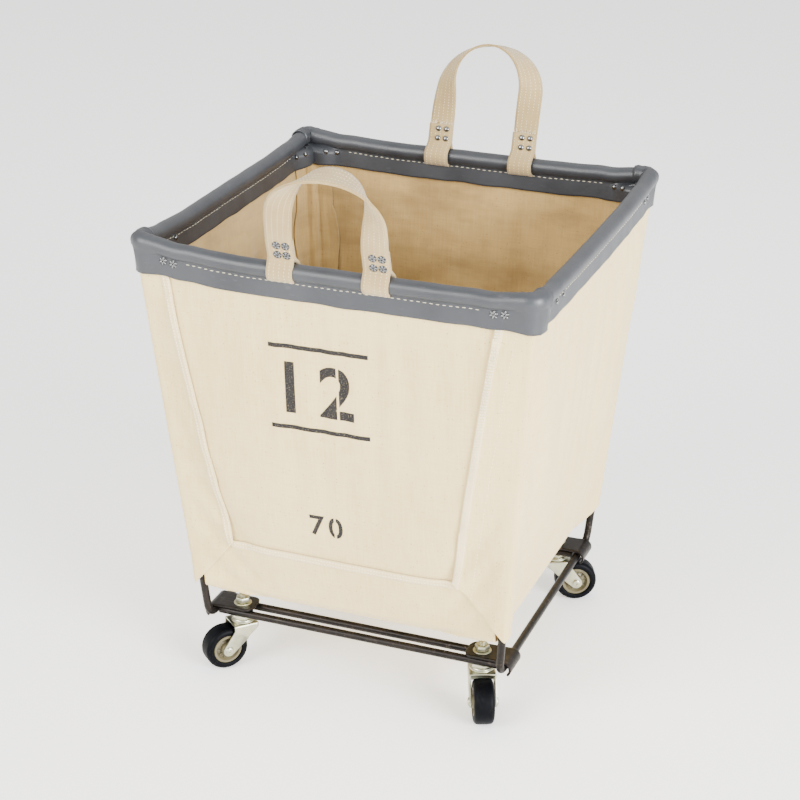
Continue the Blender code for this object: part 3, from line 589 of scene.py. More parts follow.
def foldRound(near, far, radius):
    # how far a point on a sharp edge's faces moves to follow a round one
    reach = max(near, far)
    if reach >= radius or min(near, far) > 1e-6:
        return 0.0, 0.0
    angle = (1 - reach / radius) * math.pi / 4
    inward = radius - radius * math.cos(angle)
    along = radius - radius * math.sin(angle) - reach
    return (inward, along) if near <= far else (along, inward)


def seamHalf(height):
    share = (height - tub["seamRise"]) / (skirtLow - tub["seamRise"])
    return mixed(tub["seamBottom"], tub["seamTop"], share)


seamSlope = (tub["seamTop"] - tub["seamBottom"]) / (skirtLow - tub["seamRise"])
seamCos = 1 / math.hypot(1, seamSlope)


def seamDistance(x, z):
    # how far outside the panel's sewn outline a point on the front or back lies
    return max((abs(x - tub["seamCentre"]) - seamHalf(z)) * seamCos, tub["seamRise"] - z)


def makeForm():
    topX, topY = rim.x + tub["proud"], rim.y + tub["proud"]
    rise = tub["topZ"] - floorZ
    work = bmesh.new()
    bmesh.ops.create_cube(work, size=2)
    bmesh.ops.scale(work, vec=(topX, topY, rise / 2), verts=work.verts)
    bmesh.ops.translate(work, vec=(0, 0, floorZ + rise / 2), verts=work.verts)
    lid = [face for face in work.faces if face.normal.z > 0.5]
    bmesh.ops.delete(work, geom=lid, context="FACES_ONLY")
    nearEdge = (0.0015, 0.0035, 0.006, 0.009, 0.013, 0.018)
    for axis, half in ((0, topX), (1, topY)):
        spots = [sign * (half - step) for sign in (-1, 1) for step in nearEdge]
        count = round(2 * (half - 0.018) / tub["spacing"])
        spots += [mixed(0.018 - half, half - 0.018, i / count) for i in range(1, count)]
        normal = Vector((0, 0, 0))
        normal[axis] = 1
        for spot in spots:
            cutPlane(work, normal * spot, normal)
    count = round((rise - 0.018) / tub["spacing"])
    levels = [floorZ + step for step in nearEdge] + [mixed(floorZ + 0.018, tub["topZ"], i / count)
                                                    for i in range(1, count)]
    for level in levels:
        cutPlane(work, (0, 0, level), (0, 0, 1))
    for vert in work.verts:
        x, y, z = vert.co
        signX, signY = math.copysign(1, x), math.copysign(1, y)
        inX, inY, up = topX - abs(x), topY - abs(y), z - floorZ
        moveX, moveY = foldRound(inX, inY, tub["cornerRadius"])
        if up < 1e-6:
            moveX = moveY = 0.0
        tuck = smoothStep((abs(y) / topY - 0.62) / 0.3)
        sideFold = mixed(tub["sideFold"], tub["frontFold"], tuck)
        slideX, liftX = foldRound(inX, up, sideFold) if inX < 1e-6 or up < 1e-6 else (0, 0)
        slideY, liftY = foldRound(inY, up, tub["frontFold"]) if inY < 1e-6 or up < 1e-6 else (0, 0)
        inX += moveX + slideX
        inY += moveY + slideY
        up += max(liftX, liftY)
        halfX, halfY = wallAt(floorZ + up)
        vert.co = (signX * (topX - inX) * halfX / topX, signY * (topY - inY) * halfY / topY, floorZ + up)
    return work


def settleCloth(work):
    # hang the tub from its rim and corners so that the walls and the bottom slacken
    mesh = bpy.data.meshes.new("settle")
    work.to_mesh(mesh)
    holder = bpy.data.objects.new("settle", mesh)
    bpy.context.collection.objects.link(holder)
    held = holder.vertex_groups.new(name="held")
    for vert in mesh.vertices:
        halfX, halfY = wallAt(vert.co.z)
        cornerGap = max(halfX - abs(vert.co.x), halfY - abs(vert.co.y))
        weight = max(smoothStep((vert.co.z - skirtLow + 0.012) / 0.012),
                     smoothStep((0.020 - cornerGap) / 0.008))
        held.add([vert.index], weight, "REPLACE")
    step = holder.modifiers.new("cloth", "CLOTH")
    step.settings.quality = 5
    step.settings.mass = 0.3
    step.settings.tension_stiffness = 30
    step.settings.compression_stiffness = 12
    step.settings.shear_stiffness = 8
    step.settings.bending_stiffness = 1.2
    step.settings.vertex_group_mass = "held"
    step.settings.shrink_min = -0.010
    step.settings.air_damping = 4
    step.settings.effector_weights.gravity = 0.6
    step.point_cache.frame_start = 1
    step.point_cache.frame_end = 24
    scene = bpy.context.scene
    for number in range(1, 25):
        scene.frame_set(number)
    settled = holder.evaluated_get(bpy.context.evaluated_depsgraph_get()).to_mesh()
    moved = [vert.co.copy() for vert in settled.vertices]
    scene.frame_set(1)
    work.verts.ensure_lookup_table()
    for vert, spot in zip(work.verts, moved):
        shift = spot - vert.co
        if shift.length > 0.008:
            shift *= 0.008 / shift.length
        vert.co += shift
    bpy.data.objects.remove(holder)


def creaseAt(point, normal):
    # soft creases and slack that a sewn basket keeps, in metres outwards
    halfX, halfY = wallAt(point.z)
    free = smoothStep((skirtLow - point.z) / 0.05) * smoothStep((point.z - floorZ) / 0.03)
    free *= smoothStep(max(halfX - abs(point.x), halfY - abs(point.y)) / 0.05)
    swell = noise.noise(point * 7.0 + Vector((3.1, 0.4, 1.7))) * 0.0030
    swell += noise.noise(Vector((point.x * 22, point.y * 22, point.z * 7)) + Vector((9, 2, 5))) * 0.0013
    swell += noise.noise(point * 48.0) * 0.00035
    if normal.y > 0.7 or normal.x < -0.7:                      # the slackest walls
        swell += noise.noise(Vector((point.x * 11 + point.y * 11, 4.0, point.z * 21))) * 0.0056
        swell += noise.noise(Vector((point.x * 26 - point.z * 14, 8.0, point.z * 30))) * 0.0024
    amount = swell * free
    across = point.x / halfX if abs(normal.y) > 0.7 else point.y / halfY
    if max(abs(normal.x), abs(normal.y)) > 0.7:
        amount += tub["bow"] * (1 - across * across) * smoothStep((point.z - 0.26) / 0.2)
    for faces, start, end, height, width in folds:
        if normal.dot(Vector(faces)) < 0.7:
            continue
        start = Vector(start)
        line = Vector(end) - start
        share = min(1.0, max(0.0, (point - start).dot(line) / line.length_squared))
        gap = (point - start - line * share).length
        fade = math.sin(math.pi * min(0.98, max(0.02, share))) ** 0.5
        amount += height * fade * math.exp(-(gap / width) ** 2) * smoothStep((skirtLow - point.z) / 0.02)
    return amount


# the wall a crease is on, its ends, its height and its width
folds = [
    ((1, 0, 0), (0.215, -0.190, 0.486), (0.193, -0.172, 0.200), 0.0022, 0.010),
    ((1, 0, 0), (0.216, -0.150, 0.486), (0.200, -0.090, 0.290), -0.0016, 0.014),
    ((1, 0, 0), (0.216, 0.130, 0.486), (0.196, 0.100, 0.230), 0.0020, 0.012),
    ((1, 0, 0), (0.216, 0.020, 0.480), (0.190, -0.040, 0.180), -0.0014, 0.020),
    ((0, -1, 0), (-0.205, -0.215, 0.480), (-0.182, -0.190, 0.180), 0.0014, 0.009),
    ((0, -1, 0), (0.198, -0.215, 0.480), (0.176, -0.190, 0.160), 0.0015, 0.010),
    ((0, 1, 0), (-0.150, 0.215, 0.486), (-0.120, 0.196, 0.240), 0.0064, 0.013),
    ((0, 1, 0), (-0.105, 0.217, 0.486), (-0.095, 0.200, 0.260), -0.0050, 0.013),
    ((0, 1, 0), (0.060, 0.217, 0.486), (0.090, 0.200, 0.300), 0.0056, 0.020),
    ((-1, 0, 0), (-0.214, 0.120, 0.486), (-0.196, 0.140, 0.230), 0.0022, 0.013),
    ((-1, 0, 0), (-0.214, -0.110, 0.486), (-0.196, -0.150, 0.230), 0.0018, 0.014),
]

form = makeForm()
settleCloth(form)
form.normal_update()
shifts = [(vert, vert.normal * creaseAt(vert.co, vert.normal)) for vert in form.verts]
for vert, shift in shifts:
    vert.co += shift
form.normal_update()
print("tub formed:", len(form.verts), "points")


def faceSide(face):
    # which wall a face of the tub belongs to
    normal = face.normal
    if normal.z < -0.7:
        return "bottom"
    if abs(normal.y) >= abs(normal.x):
        return "front" if normal.y < 0 else "back"
    return "left" if normal.x < 0 else "right"


def clothUv(vert, face):
    side = faceSide(face)
    if side in ("front", "back"):
        return (vert.co.x, vert.co.z)
    if side == "bottom":
        return (vert.co.x + 1, vert.co.y)
    return (vert.co.y + 2, vert.co.z)


def cutWall(work, signY, spot, normal):
    faces = [face for face in work.faces if face.normal.y * signY > 0.6]
    cutPlane(work, spot, normal, around(faces), dist=1e-5)


def makeBody():
    work = form.copy()
    slant = {sign: Vector((sign * seamCos, 0, -seamSlope * seamCos)) for sign in (-1, 1)}
    steps = (0.0, tub["hemWidth"], tub["hemWidth"] + 0.0008)
    mitres = {}
    for signY in (-1, 1):
        for sign in (-1, 1):
            for step in steps:
                spot = Vector((tub["seamCentre"] + sign * tub["seamTop"], 0, skirtLow)) + slant[sign] * step
                cutWall(work, signY, spot, slant[sign])
            foot = Vector((tub["seamCentre"] + sign * tub["seamBottom"], 0, tub["seamRise"]))
            tip = Vector((sign * (tub["bottomX"] - 0.001), 0, floorZ + 0.002))
            across = (tip - foot).normalized()
            outward = Vector((across.z * -sign, 0, across.x * sign))   # towards the side strip
            if outward.z < 0:
                outward = -outward
            mitres[sign] = (foot, outward)
            for step in (0.0, 0.0009):
                cutWall(work, signY, foot + outward * step, outward)
        for step in steps:
            cutWall(work, signY, Vector((0, 0, tub["seamRise"] - step)), Vector((0, 0, 1)))
    for sign in (-1, 1):
        for spot in (Vector((sign * (tub["bottomX"] - tub["opening"]), 0, 0)),
                     Vector((0, sign * (tub["bottomY"] - tub["opening"]), 0))):
            low = [face for face in work.faces if face.calc_center_median().z < floorZ + 0.03]
            cutPlane(work, spot, spot.normalized(), around(low), dist=1e-5)
    doomed = []
    for face in work.faces:
        spot = face.calc_center_median()
        onFront = abs(face.normal.y) > 0.6 and face.normal.z > -0.7
        if onFront and seamDistance(spot.x, spot.z) < 0:
            doomed.append(face)
            continue
        # the triangular opening that each upright comes out of
        sign = math.copysign(1, spot.x)
        foot, outward = mitres[sign]
        below = (spot - foot).dot(outward) < 0
        nearCorner = abs(spot.x) > tub["bottomX"] - tub["opening"] and spot.z < floorZ + 0.030
        if nearCorner and onFront and below:
            doomed.append(face)
        elif (abs(spot.x) > tub["bottomX"] - tub["opening"] and abs(spot.y) > tub["bottomY"] - tub["opening"]
              and spot.z < floorZ + 0.004):
            doomed.append(face)
    bmesh.ops.delete(work, geom=doomed, context="FACES")
    work.normal_update()
    lifts = []
    for vert in work.verts:
        if abs(vert.normal.y) < 0.6:
            continue
        away = seamDistance(vert.co.x, vert.co.z)
        lift = 0.0
        if away <= tub["hemWidth"] + 1e-4:
            lift = tub["hemLift"]
        foot, outward = mitres[math.copysign(1, vert.co.x)]
        over = (vert.co - Vector((0, vert.co.y, 0)) - foot).dot(outward)
        if over > 0.0008 and vert.co.z < tub["seamRise"] + 0.03:
            lift += 0.0026 * smoothStep(1 - over / 0.030)
        if lift:
            lifts.append((vert, Vector((0, math.copysign(1, vert.co.y), 0)) * lift))
    for vert, lift in lifts:
        vert.co += lift
    writeUv(work, clothUv)
    piece = addPiece("basket_body", work, canvas, stands=["canvas_body"], crease=48)
    piece.data.materials.append(hemHighlightCanvas)
    # faces on the raised hem bands take the lighter canvas, a painted highlight
    for polygon in piece.data.polygons:
        spot = polygon.center
        if abs(polygon.normal.y) > 0.5 and seamDistance(spot.x, spot.z) < tub["hemWidth"] + 0.0004:
            polygon.material_index = 1
    # the inner faces take the darker inside copy of the canvas, painted shade
    for number in range(2):
        piece.data.materials.append(shadedInsideCanvas)
    thicken(piece, tub["ply"], -1.0)
    piece.modifiers["thickness"].material_offset = 2
    return piece


def makePanel(name, signY, node):
    work = form.copy()
    doomed = [face for face in work.faces if not (face.normal.y * signY > 0.6 and face.normal.z > -0.7)]
    bmesh.ops.delete(work, geom=doomed, context="FACES")
    margin = tub["overlap"]
    for sign in (-1, 1):
        slant = Vector((sign * seamCos, 0, -seamSlope * seamCos))
        spot = Vector((tub["seamCentre"] + sign * tub["seamTop"], 0, skirtLow)) + slant * margin
        cutPlane(work, spot, slant, clear_outer=True)
    cutPlane(work, (0, 0, tub["seamRise"] - margin), (0, 0, -1), clear_outer=True)
    work.normal_update()
    for vert in work.verts:
        away = -seamDistance(vert.co.x, vert.co.z)
        swell = 0.0022 * smoothStep(away / 0.06)            # the panel puffs out of its frame a little
        vert.co.y += signY * (swell - tub["ply"] - 0.0002)
    writeUv(work, clothUv)
    piece = addPiece(name, work, canvas, stands=[node], crease=60)
    piece.data.materials.append(shadedInsideCanvas)
    thicken(piece, tub["ply"], -1.0)
    piece.modifiers["thickness"].material_offset = 1
    return piece


body = makeBody()
frontPanel = makePanel("front_cloth", -1, "front_panel")
backPanel = makePanel("back_cloth", 1, "back_panel")
print("canvas pieces cut")


formTree = BVHTree.FromBMesh(form)


def wallTree(piece):
    mesh = piece.data
    faces = [list(face.vertices) for face in mesh.polygons]
    return BVHTree.FromPolygons([vert.co for vert in mesh.vertices], faces)


bodyTree = wallTree(body)
panelTrees = {-1: wallTree(frontPanel), 1: wallTree(backPanel)}


def onWall(signY, x, z, lift):
    # the outer surface of the front or back at (x, z)
    start, aim = Vector((x, signY * 0.5, z)), Vector((0, -signY, 0))
    hits = [tree.ray_cast(start, aim) for tree in (bodyTree, panelTrees[signY])]
    hits = [hit for hit in hits if hit[0] is not None]
    spot, normal = min(hits, key=lambda hit: hit[3])[:2]
    normal = normal if normal.y * signY > 0 else -normal
    return spot + normal * lift, normal


def seamRow(work, signY, points, pitch, size, wobble=0.0002):
    # stitches along a broken line of (x, z) points on the front or back
    for (x0, z0), (x1, z1) in zip(points, points[1:]):
        length = math.hypot(x1 - x0, z1 - z0)
        count = max(1, round(length / pitch))
        for i in range(count):
            share = (i + 0.5) / count
            x = mixed(x0, x1, share) + dice.uniform(-wobble, wobble)
            z = mixed(z0, z1, share) + dice.uniform(-wobble, wobble)
            spot, normal = onWall(signY, x, z, size[2] * 0.15)
            stitchInto(work, spot, Vector((x1 - x0, 0, z1 - z0)), normal, size)


def makeSeams():
    thick = (0.0026, 0.0010, 0.0011)
    top = skirtLow + 0.004
    for name, signY in (("front_seam_stitches", -1), ("back_seam_stitches", 1)):
        work = bmesh.new()
        for sign in (-1, 1):
            rows = (0.0016, 0.0030, 0.0044, 0.0058, 0.0071) if sign > 0 else (0.0020, 0.0064)
            for away in rows:
                base = tub["seamRise"] - away
                line = [(tub["seamCentre"] + sign * (seamHalf(top) + away / seamCos), top),
                        (tub["seamCentre"] + sign * (seamHalf(base) + away / seamCos), base)]
                seamRow(work, signY, line, 0.0034, thick)
            away = 0.0225
            line = [(tub["seamCentre"] + sign * (seamHalf(level) + away), level) for level in (top, 0.16)]
            if sign > 0:
                seamRow(work, signY, line, 0.0046, (0.0026, 0.0006, 0.0005))
        for away in (0.0022, 0.0062):
            base = tub["seamRise"] - away
            half = seamHalf(base) + away / seamCos
            line = [(tub["seamCentre"] + sign * half, base) for sign in (-1, 1)]
            seamRow(work, signY, line, 0.0034, thick)
        addPiece(name, work, thread)


makeSeams()
print("seams sewn")


# ---- vinyl binding on the rim
binding = {
    "thickness": 0.0016, "radius": 0.0083, "skirtGap": 0.0030, "columns": 120, "rows": 48, "corner": 0.009,
    # the ends that lap over the next strip
    "covers": {"front": (-1, 1), "back": (-1,), "left": (), "right": (1,)},
    "lap": 0.011,
}
bindingSides = {"front": (True, -1), "back": (True, 1), "left": (False, -1), "right": (False, 1)}
rollFrom = math.acos(binding["skirtGap"] / binding["radius"])
skirtRun = rim.z - binding["radius"] * math.sin(rollFrom) - skirtLow
rollRun = binding["radius"] * (math.pi + 2 * rollFrom)
bindingRun = 2 * skirtRun + rollRun


# the rim is bent up a little at its corners
cornerLift = {"fl": 0.0080, "bl": 0.0055, "br": 0.0038, "fr": 0.0014}


def rimLift(x, y):
    total = 0.0
    for corner, (signX, signY) in corners.items():
        gap = max(rim.x - signX * x, rim.y - signY * y)
        total += cornerLift[corner] * smoothStep(1 - gap / 0.14) ** 1.5
    return total


def bindingSpot(side, u, run, lift=0.0):
    # u runs -1 to 1 along the side, run from the inner skirt's edge over the roll to the outer one
    alongX, sign = bindingSides[side]
    half, across = (rim.x, rim.y) if alongX else (rim.y, rim.x)
    toEnd = (1 - abs(u)) * half
    pinch = smoothStep(1 - toEnd / 0.026)
    seed = {"front": 0.0, "back": 5.0, "left": 10.0, "right": 15.0}[side]
    ripple = noise.noise(Vector((u * 9 + seed, run * 40, seed)))
    covers = math.copysign(1, u) in binding["covers"][side]
    swellRadius = binding["radius"] * (1 + (0.10 if covers else -0.05) * pinch) + ripple * 0.00035
    swellRadius += pinch * 0.0007 * math.sin(toEnd * 900 + run * 160)
    if run < skirtRun:
        depth = 1 - run / skirtRun                                       # 1 at the lower edge
        shorten = 0.0085 * smoothStep(1 - toEnd / 0.019) * depth         # rounded end near the corner
        drop = (0.0016 * noise.noise(Vector((u * 7 + seed, 3, 1))) + 0.0008) * depth
        offset = -binding["skirtGap"] - depth * (0.0006 + 0.0007 * noise.noise(Vector((u * 8 + seed, 9, 2))))
        offset -= 0.0115 * smoothStep((0.047 - toEnd) / 0.025) * smoothStep(depth / 0.3)   # over the sleeve
        height, normal = skirtLow + run + shorten - drop, (-1.0, 0.0)
    elif run < skirtRun + rollRun:
        turn = -rollFrom + (run - skirtRun) / binding["radius"]
        offset, height = -swellRadius * math.cos(turn), rim.z + swellRadius * math.sin(turn)
        normal = (-math.cos(turn), math.sin(turn))
    else:
        depth = (run - skirtRun - rollRun) / skirtRun
        drop = 0.0016 * noise.noise(Vector((u * 6 + seed, 5, 4))) + 0.0034 * smoothStep(1 - toEnd / 0.040)
        drop *= depth
        offset = binding["skirtGap"] + depth * (0.0004 + 0.0006 * noise.noise(Vector((u * 9 + seed, 7, 3))))
        height, normal = skirtLow + (1 - depth) * skirtRun - drop, (1.0, 0.0)
    full = smoothStep(1 - toEnd / 0.034)                                 # the corner's rounder, fuller wrap
    if run > skirtRun + rollRun * 0.5:
        below = smoothStep((rim.z - height) / 0.008)
        depth = min(1.0, max(0.0, (rim.z - height) / (rim.z - skirtLow)))
        offset = mixed(offset, swellRadius * (0.96 - 0.42 * depth), full * below)
    dent = 0.0012 * smoothStep(1 - abs(toEnd - 0.044) / 0.02)            # beside the wrap
    height += full * (0.0022 if height > rim.z else 0.0008) - dent
    offset += normal[0] * lift
    height += normal[1] * lift
    offset += 0.0013 * smoothStep(1 - toEnd / 0.012) * (1 if covers and run > skirtRun else 0)
    reach = across + offset + tub["bow"] * max(0.0, 1 - u * u)
    along = u * half
    past = abs(along) - half + binding["corner"]
    if past > 0:                                                         # round the corner and on past it
        turn = min(past / binding["corner"], math.pi / 2)
        radius = max(0.0008, binding["corner"] + offset)
        along = math.copysign(half - binding["corner"] + radius * math.sin(turn), u)
        reach += radius * (math.cos(turn) - 1) - max(0.0, past - binding["corner"] * math.pi / 2)
    outward = sign * reach
    spot = Vector((along, outward, height)) if alongX else Vector((outward, along, height))
    spot.z += rimLift(spot.x, spot.y)
    facing = Vector((0, sign * normal[0], normal[1])) if alongX else Vector((sign * normal[0], 0, normal[1]))
    return spot, facing


def makeBinding(side):
    columns, rows = binding["columns"], binding["rows"]
    work = gridSheet(columns, rows)
    alongX, sign = bindingSides[side]
    half = rim.x if alongX else rim.y
    round90 = binding["corner"] * (math.pi / 2 - 1)
    lap, short = round90 + binding["lap"], -0.6 * binding["corner"]
    ends = [end + end * (lap if end in binding["covers"][side] else short) / half for end in (-1, 1)]
    marks = {}
    for vert in work.verts:
        u, run = mixed(*ends, vert.co.x + 0.5), (vert.co.y + 0.5) * bindingRun
        marks[vert] = (u * 0.22, run)
        vert.co = bindingSpot(side, u, run)[0]
    writeUv(work, lambda vert, face: marks[vert])
    work.normal_update()
    top = max(work.faces, key=lambda face: face.calc_center_median().z)
    if top.normal.z < 0:
        bmesh.ops.reverse_faces(work, faces=work.faces)
    piece = addPiece("vinyl_" + side, work, vinyl, stands=["binding_" + side], crease=50)
    thicken(piece, binding["thickness"])
    return piece


def makeBindingStitches():
    work = bmesh.new()
    for side, (alongX, sign) in bindingSides.items():
        half = rim.x if alongX else rim.y
        fromFold, lift, pitch = 0.0030, 0.0010, 0.0068
        for run in (skirtRun - fromFold, skirtRun + rollRun + fromFold):
            reach = half - 0.055
            count = round(2 * reach / pitch)
            for i in range(count):
                along = mixed(-reach, reach, (i + 0.5) / count)
                wander = 0.0005 * noise.noise(Vector((along * 60, run * 90, 2)))
                spot, facing = bindingSpot(side, along / half, run + wander, lift)
                ahead = Vector((1, 0, 0)) if alongX else Vector((0, 1, 0))
                slant = Vector((0, 0, dice.uniform(-0.05, 0.05)))
                stitchInto(work, spot, ahead + slant, facing, (0.0045, 0.00065, 0.0006))
    addPiece("binding_stitches", work, vinylThread)


def domeInto(work, spot, normal, radius, height):
    angles = (0.35, 0.7, 1.05, 1.35, 1.57)
    profile = [(0.0, height), *[(radius * math.sin(angle), height * math.cos(angle)) for angle in angles]]
    profile += [(radius * 1.02, -0.0004), (0.0, -0.0006)]
    side = normal.orthogonal()
    turnedInto(work, profile, 18, axesMatrix(spot, side, normal))


def clinchInto(work, spot, normal, radius, turn):
    # a split rivet's end: petals spread round a small eye
    side = Matrix.Rotation(turn, 3, normal) @ normal.orthogonal().normalized()
    for i in range(6):
        arm = Matrix.Rotation(i * math.pi / 3, 3, normal) @ side
        place = axesMatrix(spot + arm * radius * 0.58 + normal * 0.0004, arm, normal,
                           (radius * 0.84, radius * 0.44, 0.0012))
        bmesh.ops.create_icosphere(work, subdivisions=2, radius=0.5, matrix=place)
    profile = [(0.0, 0.0002), (radius * 0.16, 0.0003), (radius * 0.22, 0.0012), (radius * 0.34, 0.0012),
               (radius * 0.40, 0.0002), (radius * 0.40, -0.0008), (0.0, -0.0008)]
    turnedInto(work, profile, 14, axesMatrix(spot, side, normal))


def discInto(work, spot, normal, radius):
    # a near-black disc under a clinched end, painted shade seen between its petals
    profile = [(0.0, 0.0004), (radius * 0.9, 0.0004), (radius, 0.0001), (radius, -0.0006), (0.0, -0.0006)]
    turnedInto(work, profile, 16, axesMatrix(spot, normal.orthogonal(), normal))


def makeBindingRivets():
    work, shadeDiscs = bmesh.new(), bmesh.new()
    run = skirtRun - 0.0052
    for side, (alongX, sign) in bindingSides.items():
        half = rim.x if alongX else rim.y
        for end in (-1, 1):
            for gap in ((0.0300, 0.0415) if alongX or end > 0 else (0.0560, 0.0780)):
                u = end * (half - gap) / half
                spot, facing = bindingSpot(side, u, run, 0.0010)
                domeInto(work, spot, facing, 0.0031, 0.0021)
                spot, facing = bindingSpot(side, u, bindingRun - run, 0.0010)
                clinchInto(work, spot, facing, 0.0046, gap * 90)
                discInto(shadeDiscs, spot, facing, 0.0044)
    addPiece("binding_rivets", work, nickel)
    addPiece("binding_rivet_shade", shadeDiscs, rivetShade)


for side in bindingSides:
    makeBinding(side)
makeBindingStitches()
makeBindingRivets()
print("binding made")


# ---- canvas at the inside corners
def makeSleeve(corner):
    signX, signY = corners[corner]
    low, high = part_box("sleeve_" + corner)
    head, foot = rim.z - 0.013 + cornerLift[corner], low.z + 0.012
    work = gridSheet(46, 36)
    marks, hold = {}, {}
    for vert in work.verts:
        share, rise = vert.co.x + 0.5, vert.co.y + 0.5
        z = mixed(foot, head, rise)
        halfX, halfY = wallAt(z)
        wallX, wallY = halfX - 0.0029, halfY - 0.0029            # inner face of the walls
        inset = mixed(wireRadius + 0.0035, wireRadius + 0.0015, rise) + 0.0017
        rodX, rodY = halfX - inset, halfY - inset
        bulge = wireRadius + 0.0014 + 0.0020 * smoothStep((z - 0.46) / 0.03)
        flap = 0.020 + 0.005 * noise.noise(Vector((z * 14, signX * 3, signY * 5)))
        pleat = 0.0011 * noise.noise(Vector((share * 9, z * 11, signX + signY * 2)))
        pleat += 0.0016 * noise.noise(Vector((share * 3, z * 26, signX * 2 + signY)))
        if share < 0.33:
            part = share / 0.33
            x, y = wallX, rodY - bulge - 0.002 - flap * (1 - part)
            x -= 0.0006 + abs(pleat) * 1.3
        elif share > 0.67:
            part = (share - 0.67) / 0.33
            x, y = rodX - bulge - 0.002 - flap * part, wallY
            y -= 0.0006 + abs(pleat) * 1.3
        else:
            turn = math.radians(mixed(292, 158, (share - 0.33) / 0.34))
            x = rodX + (bulge + abs(pleat) * 1.4) * math.cos(turn)
            y = rodY + (bulge + abs(pleat) * 1.4) * math.sin(turn)
        marks[vert] = (share * 0.07 + 3, z)
        hold[vert] = smoothStep(abs(share - 0.5) / 0.17 - 1.1)
        vert.co = (signX * x, signY * y, z)
    writeUv(work, lambda vert, face: marks[vert])
    work.normal_update()
    middle = sum((face.normal.x * signX + face.normal.y * signY for face in work.faces))
    if middle > 0:
        bmesh.ops.reverse_faces(work, faces=work.faces)
    for vert in work.verts:                                             # stay inside the slack walls
        spot, normal = formTree.find_nearest(vert.co)[:2]
        room = 0.0044 if abs(normal.y) > 0.7 else 0.0030
        if (vert.co - spot).dot(normal) > -room:
            vert.co = spot - normal * room
        else:
            vert.co = vert.co.lerp(spot - normal * room, hold[vert])
    piece = addPiece("inner_sleeve_" + corner, work, shadedInsideCanvas,
                     stands=["sleeve_" + corner], crease=60)
    thicken(piece, 0.0012)
    return piece


def makeHems():
    # the turned-in canvas that shows as a wavy edge below the inner skirts
    pieces = []
    for side, (alongX, sign) in bindingSides.items():
        half, across = (rim.x, rim.y) if alongX else (rim.y, rim.x)
        work = gridSheet(60, 5)
        marks = {}
        for vert in work.verts:
            u, rise = vert.co.x * 2, vert.co.y + 0.5
            toEnd = (1 - abs(u)) * half
            dip = 0.0075 * smoothStep(1 - toEnd / 0.075)
            low = rim.z - 0.0245 - dip * (0.5 + 0.7 * noise.noise(Vector((u * 20, sign, 3))))
            z = mixed(low, rim.z - 0.0075, rise)
            wave = 0.0010 * noise.noise(Vector((u * 16, sign * 4, 7))) * (1 - rise)
            offset = tub["bow"] * (1 - u * u) - 0.0006 - abs(wave) * smoothStep((skirtLow - z) / 0.004)
            along = u * (half - 0.013)
            outward = sign * (across + offset)
            marks[vert] = (along, z)
            vert.co = (along, outward, z) if alongX else (outward, along, z)
        writeUv(work, lambda vert, face: marks[vert])
        piece = addPiece("inner_hem_" + side, work, shadedInsideCanvas)
        thicken(piece, 0.0010)
        pieces.append(piece)
    return pieces


sleeves = [makeSleeve(corner) for corner in corners]
hems = makeHems()
print("inner canvas made")


# ---- steel frame
def uprightLine(signX, signY):
    low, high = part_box("side_wire_right" if signX > 0 else "side_wire_left")
    top = Vector((rim.x - wireRadius - 0.0015, rim.y - wireRadius - 0.0015, high.z))
    base = Vector((tub["bottomX"] - wireRadius - 0.0035, tub["bottomY"] - wireRadius - 0.0035, floorZ))
    foot = base + (base - top) * (floorZ - wireZ) / (top.z - floorZ)
    return Vector((signX * foot.x, signY * foot.y, wireZ)), Vector((signX * top.x, signY * top.y, top.z))


def makeSteel():
    for name, signX in (("side_wire_left", -1), ("side_wire_right", 1)):
        frontFoot, frontHead = uprightLine(signX, -1)
        backFoot, backHead = uprightLine(signX, 1)
        path = [frontHead] + filletPath(frontHead, frontFoot, backFoot, 0.016, 12)
        path += filletPath(frontFoot, backFoot, backHead, 0.016, 12) + [backHead]
        work = bmesh.new()
        rodInto(work, path, wireRadius)
        addPiece(name + "_rod", work, steel, stands=[name], crease=50)
    for side in ("front", "back"):
        for layer in ("outer", "inner"):
            node = "cross_rod_" + side + "_" + layer
            low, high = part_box(node)
            middle = (low.y + high.y) / 2
            work = bmesh.new()
            line = [Vector((mixed(low.x, high.x, i / 12), middle, wireZ)) for i in range(13)]
            rodInto(work, line, wireRadius)
            addPiece(node + "_bar", work, steel, stands=[node], crease=50)
    work = bmesh.new()
    reach = 0.008
    loop = []
    for signX, signY, start in ((1, 1, 0), (-1, 1, 90), (-1, -1, 180), (1, -1, 270)):
        for i in range(9):
            turn = math.radians(start + 90 * i / 8)
            x = signX * (rim.x - reach) + reach * math.cos(turn)
            y = signY * (rim.y - reach) + reach * math.sin(turn)
            loop.append(Vector((x, y, rim.z + rimLift(x, y))))
        for i in range(1, 24):
            share = i / 24
            bow = tub["bow"] * 4 * share * (1 - share)
            if start in (0, 180):
                x, y = mixed(signX, -signX, share) * (rim.x - reach), signY * (rim.y + bow)
            else:
                x, y = signX * (rim.x + bow), mixed(signY, -signY, share) * (rim.y - reach)
            loop.append(Vector((x, y, rim.z + rimLift(x, y))))
    rodInto(work, loop, rodRadius, closed=True)
    addPiece("rim_rod_wire", work, steel, stands=["rim_rod"], crease=50)


plate = {"thickness": 0.0025, "halfWidth": 0.0165, "inner": 0.017, "round": 0.009, "curl": 0.0021}


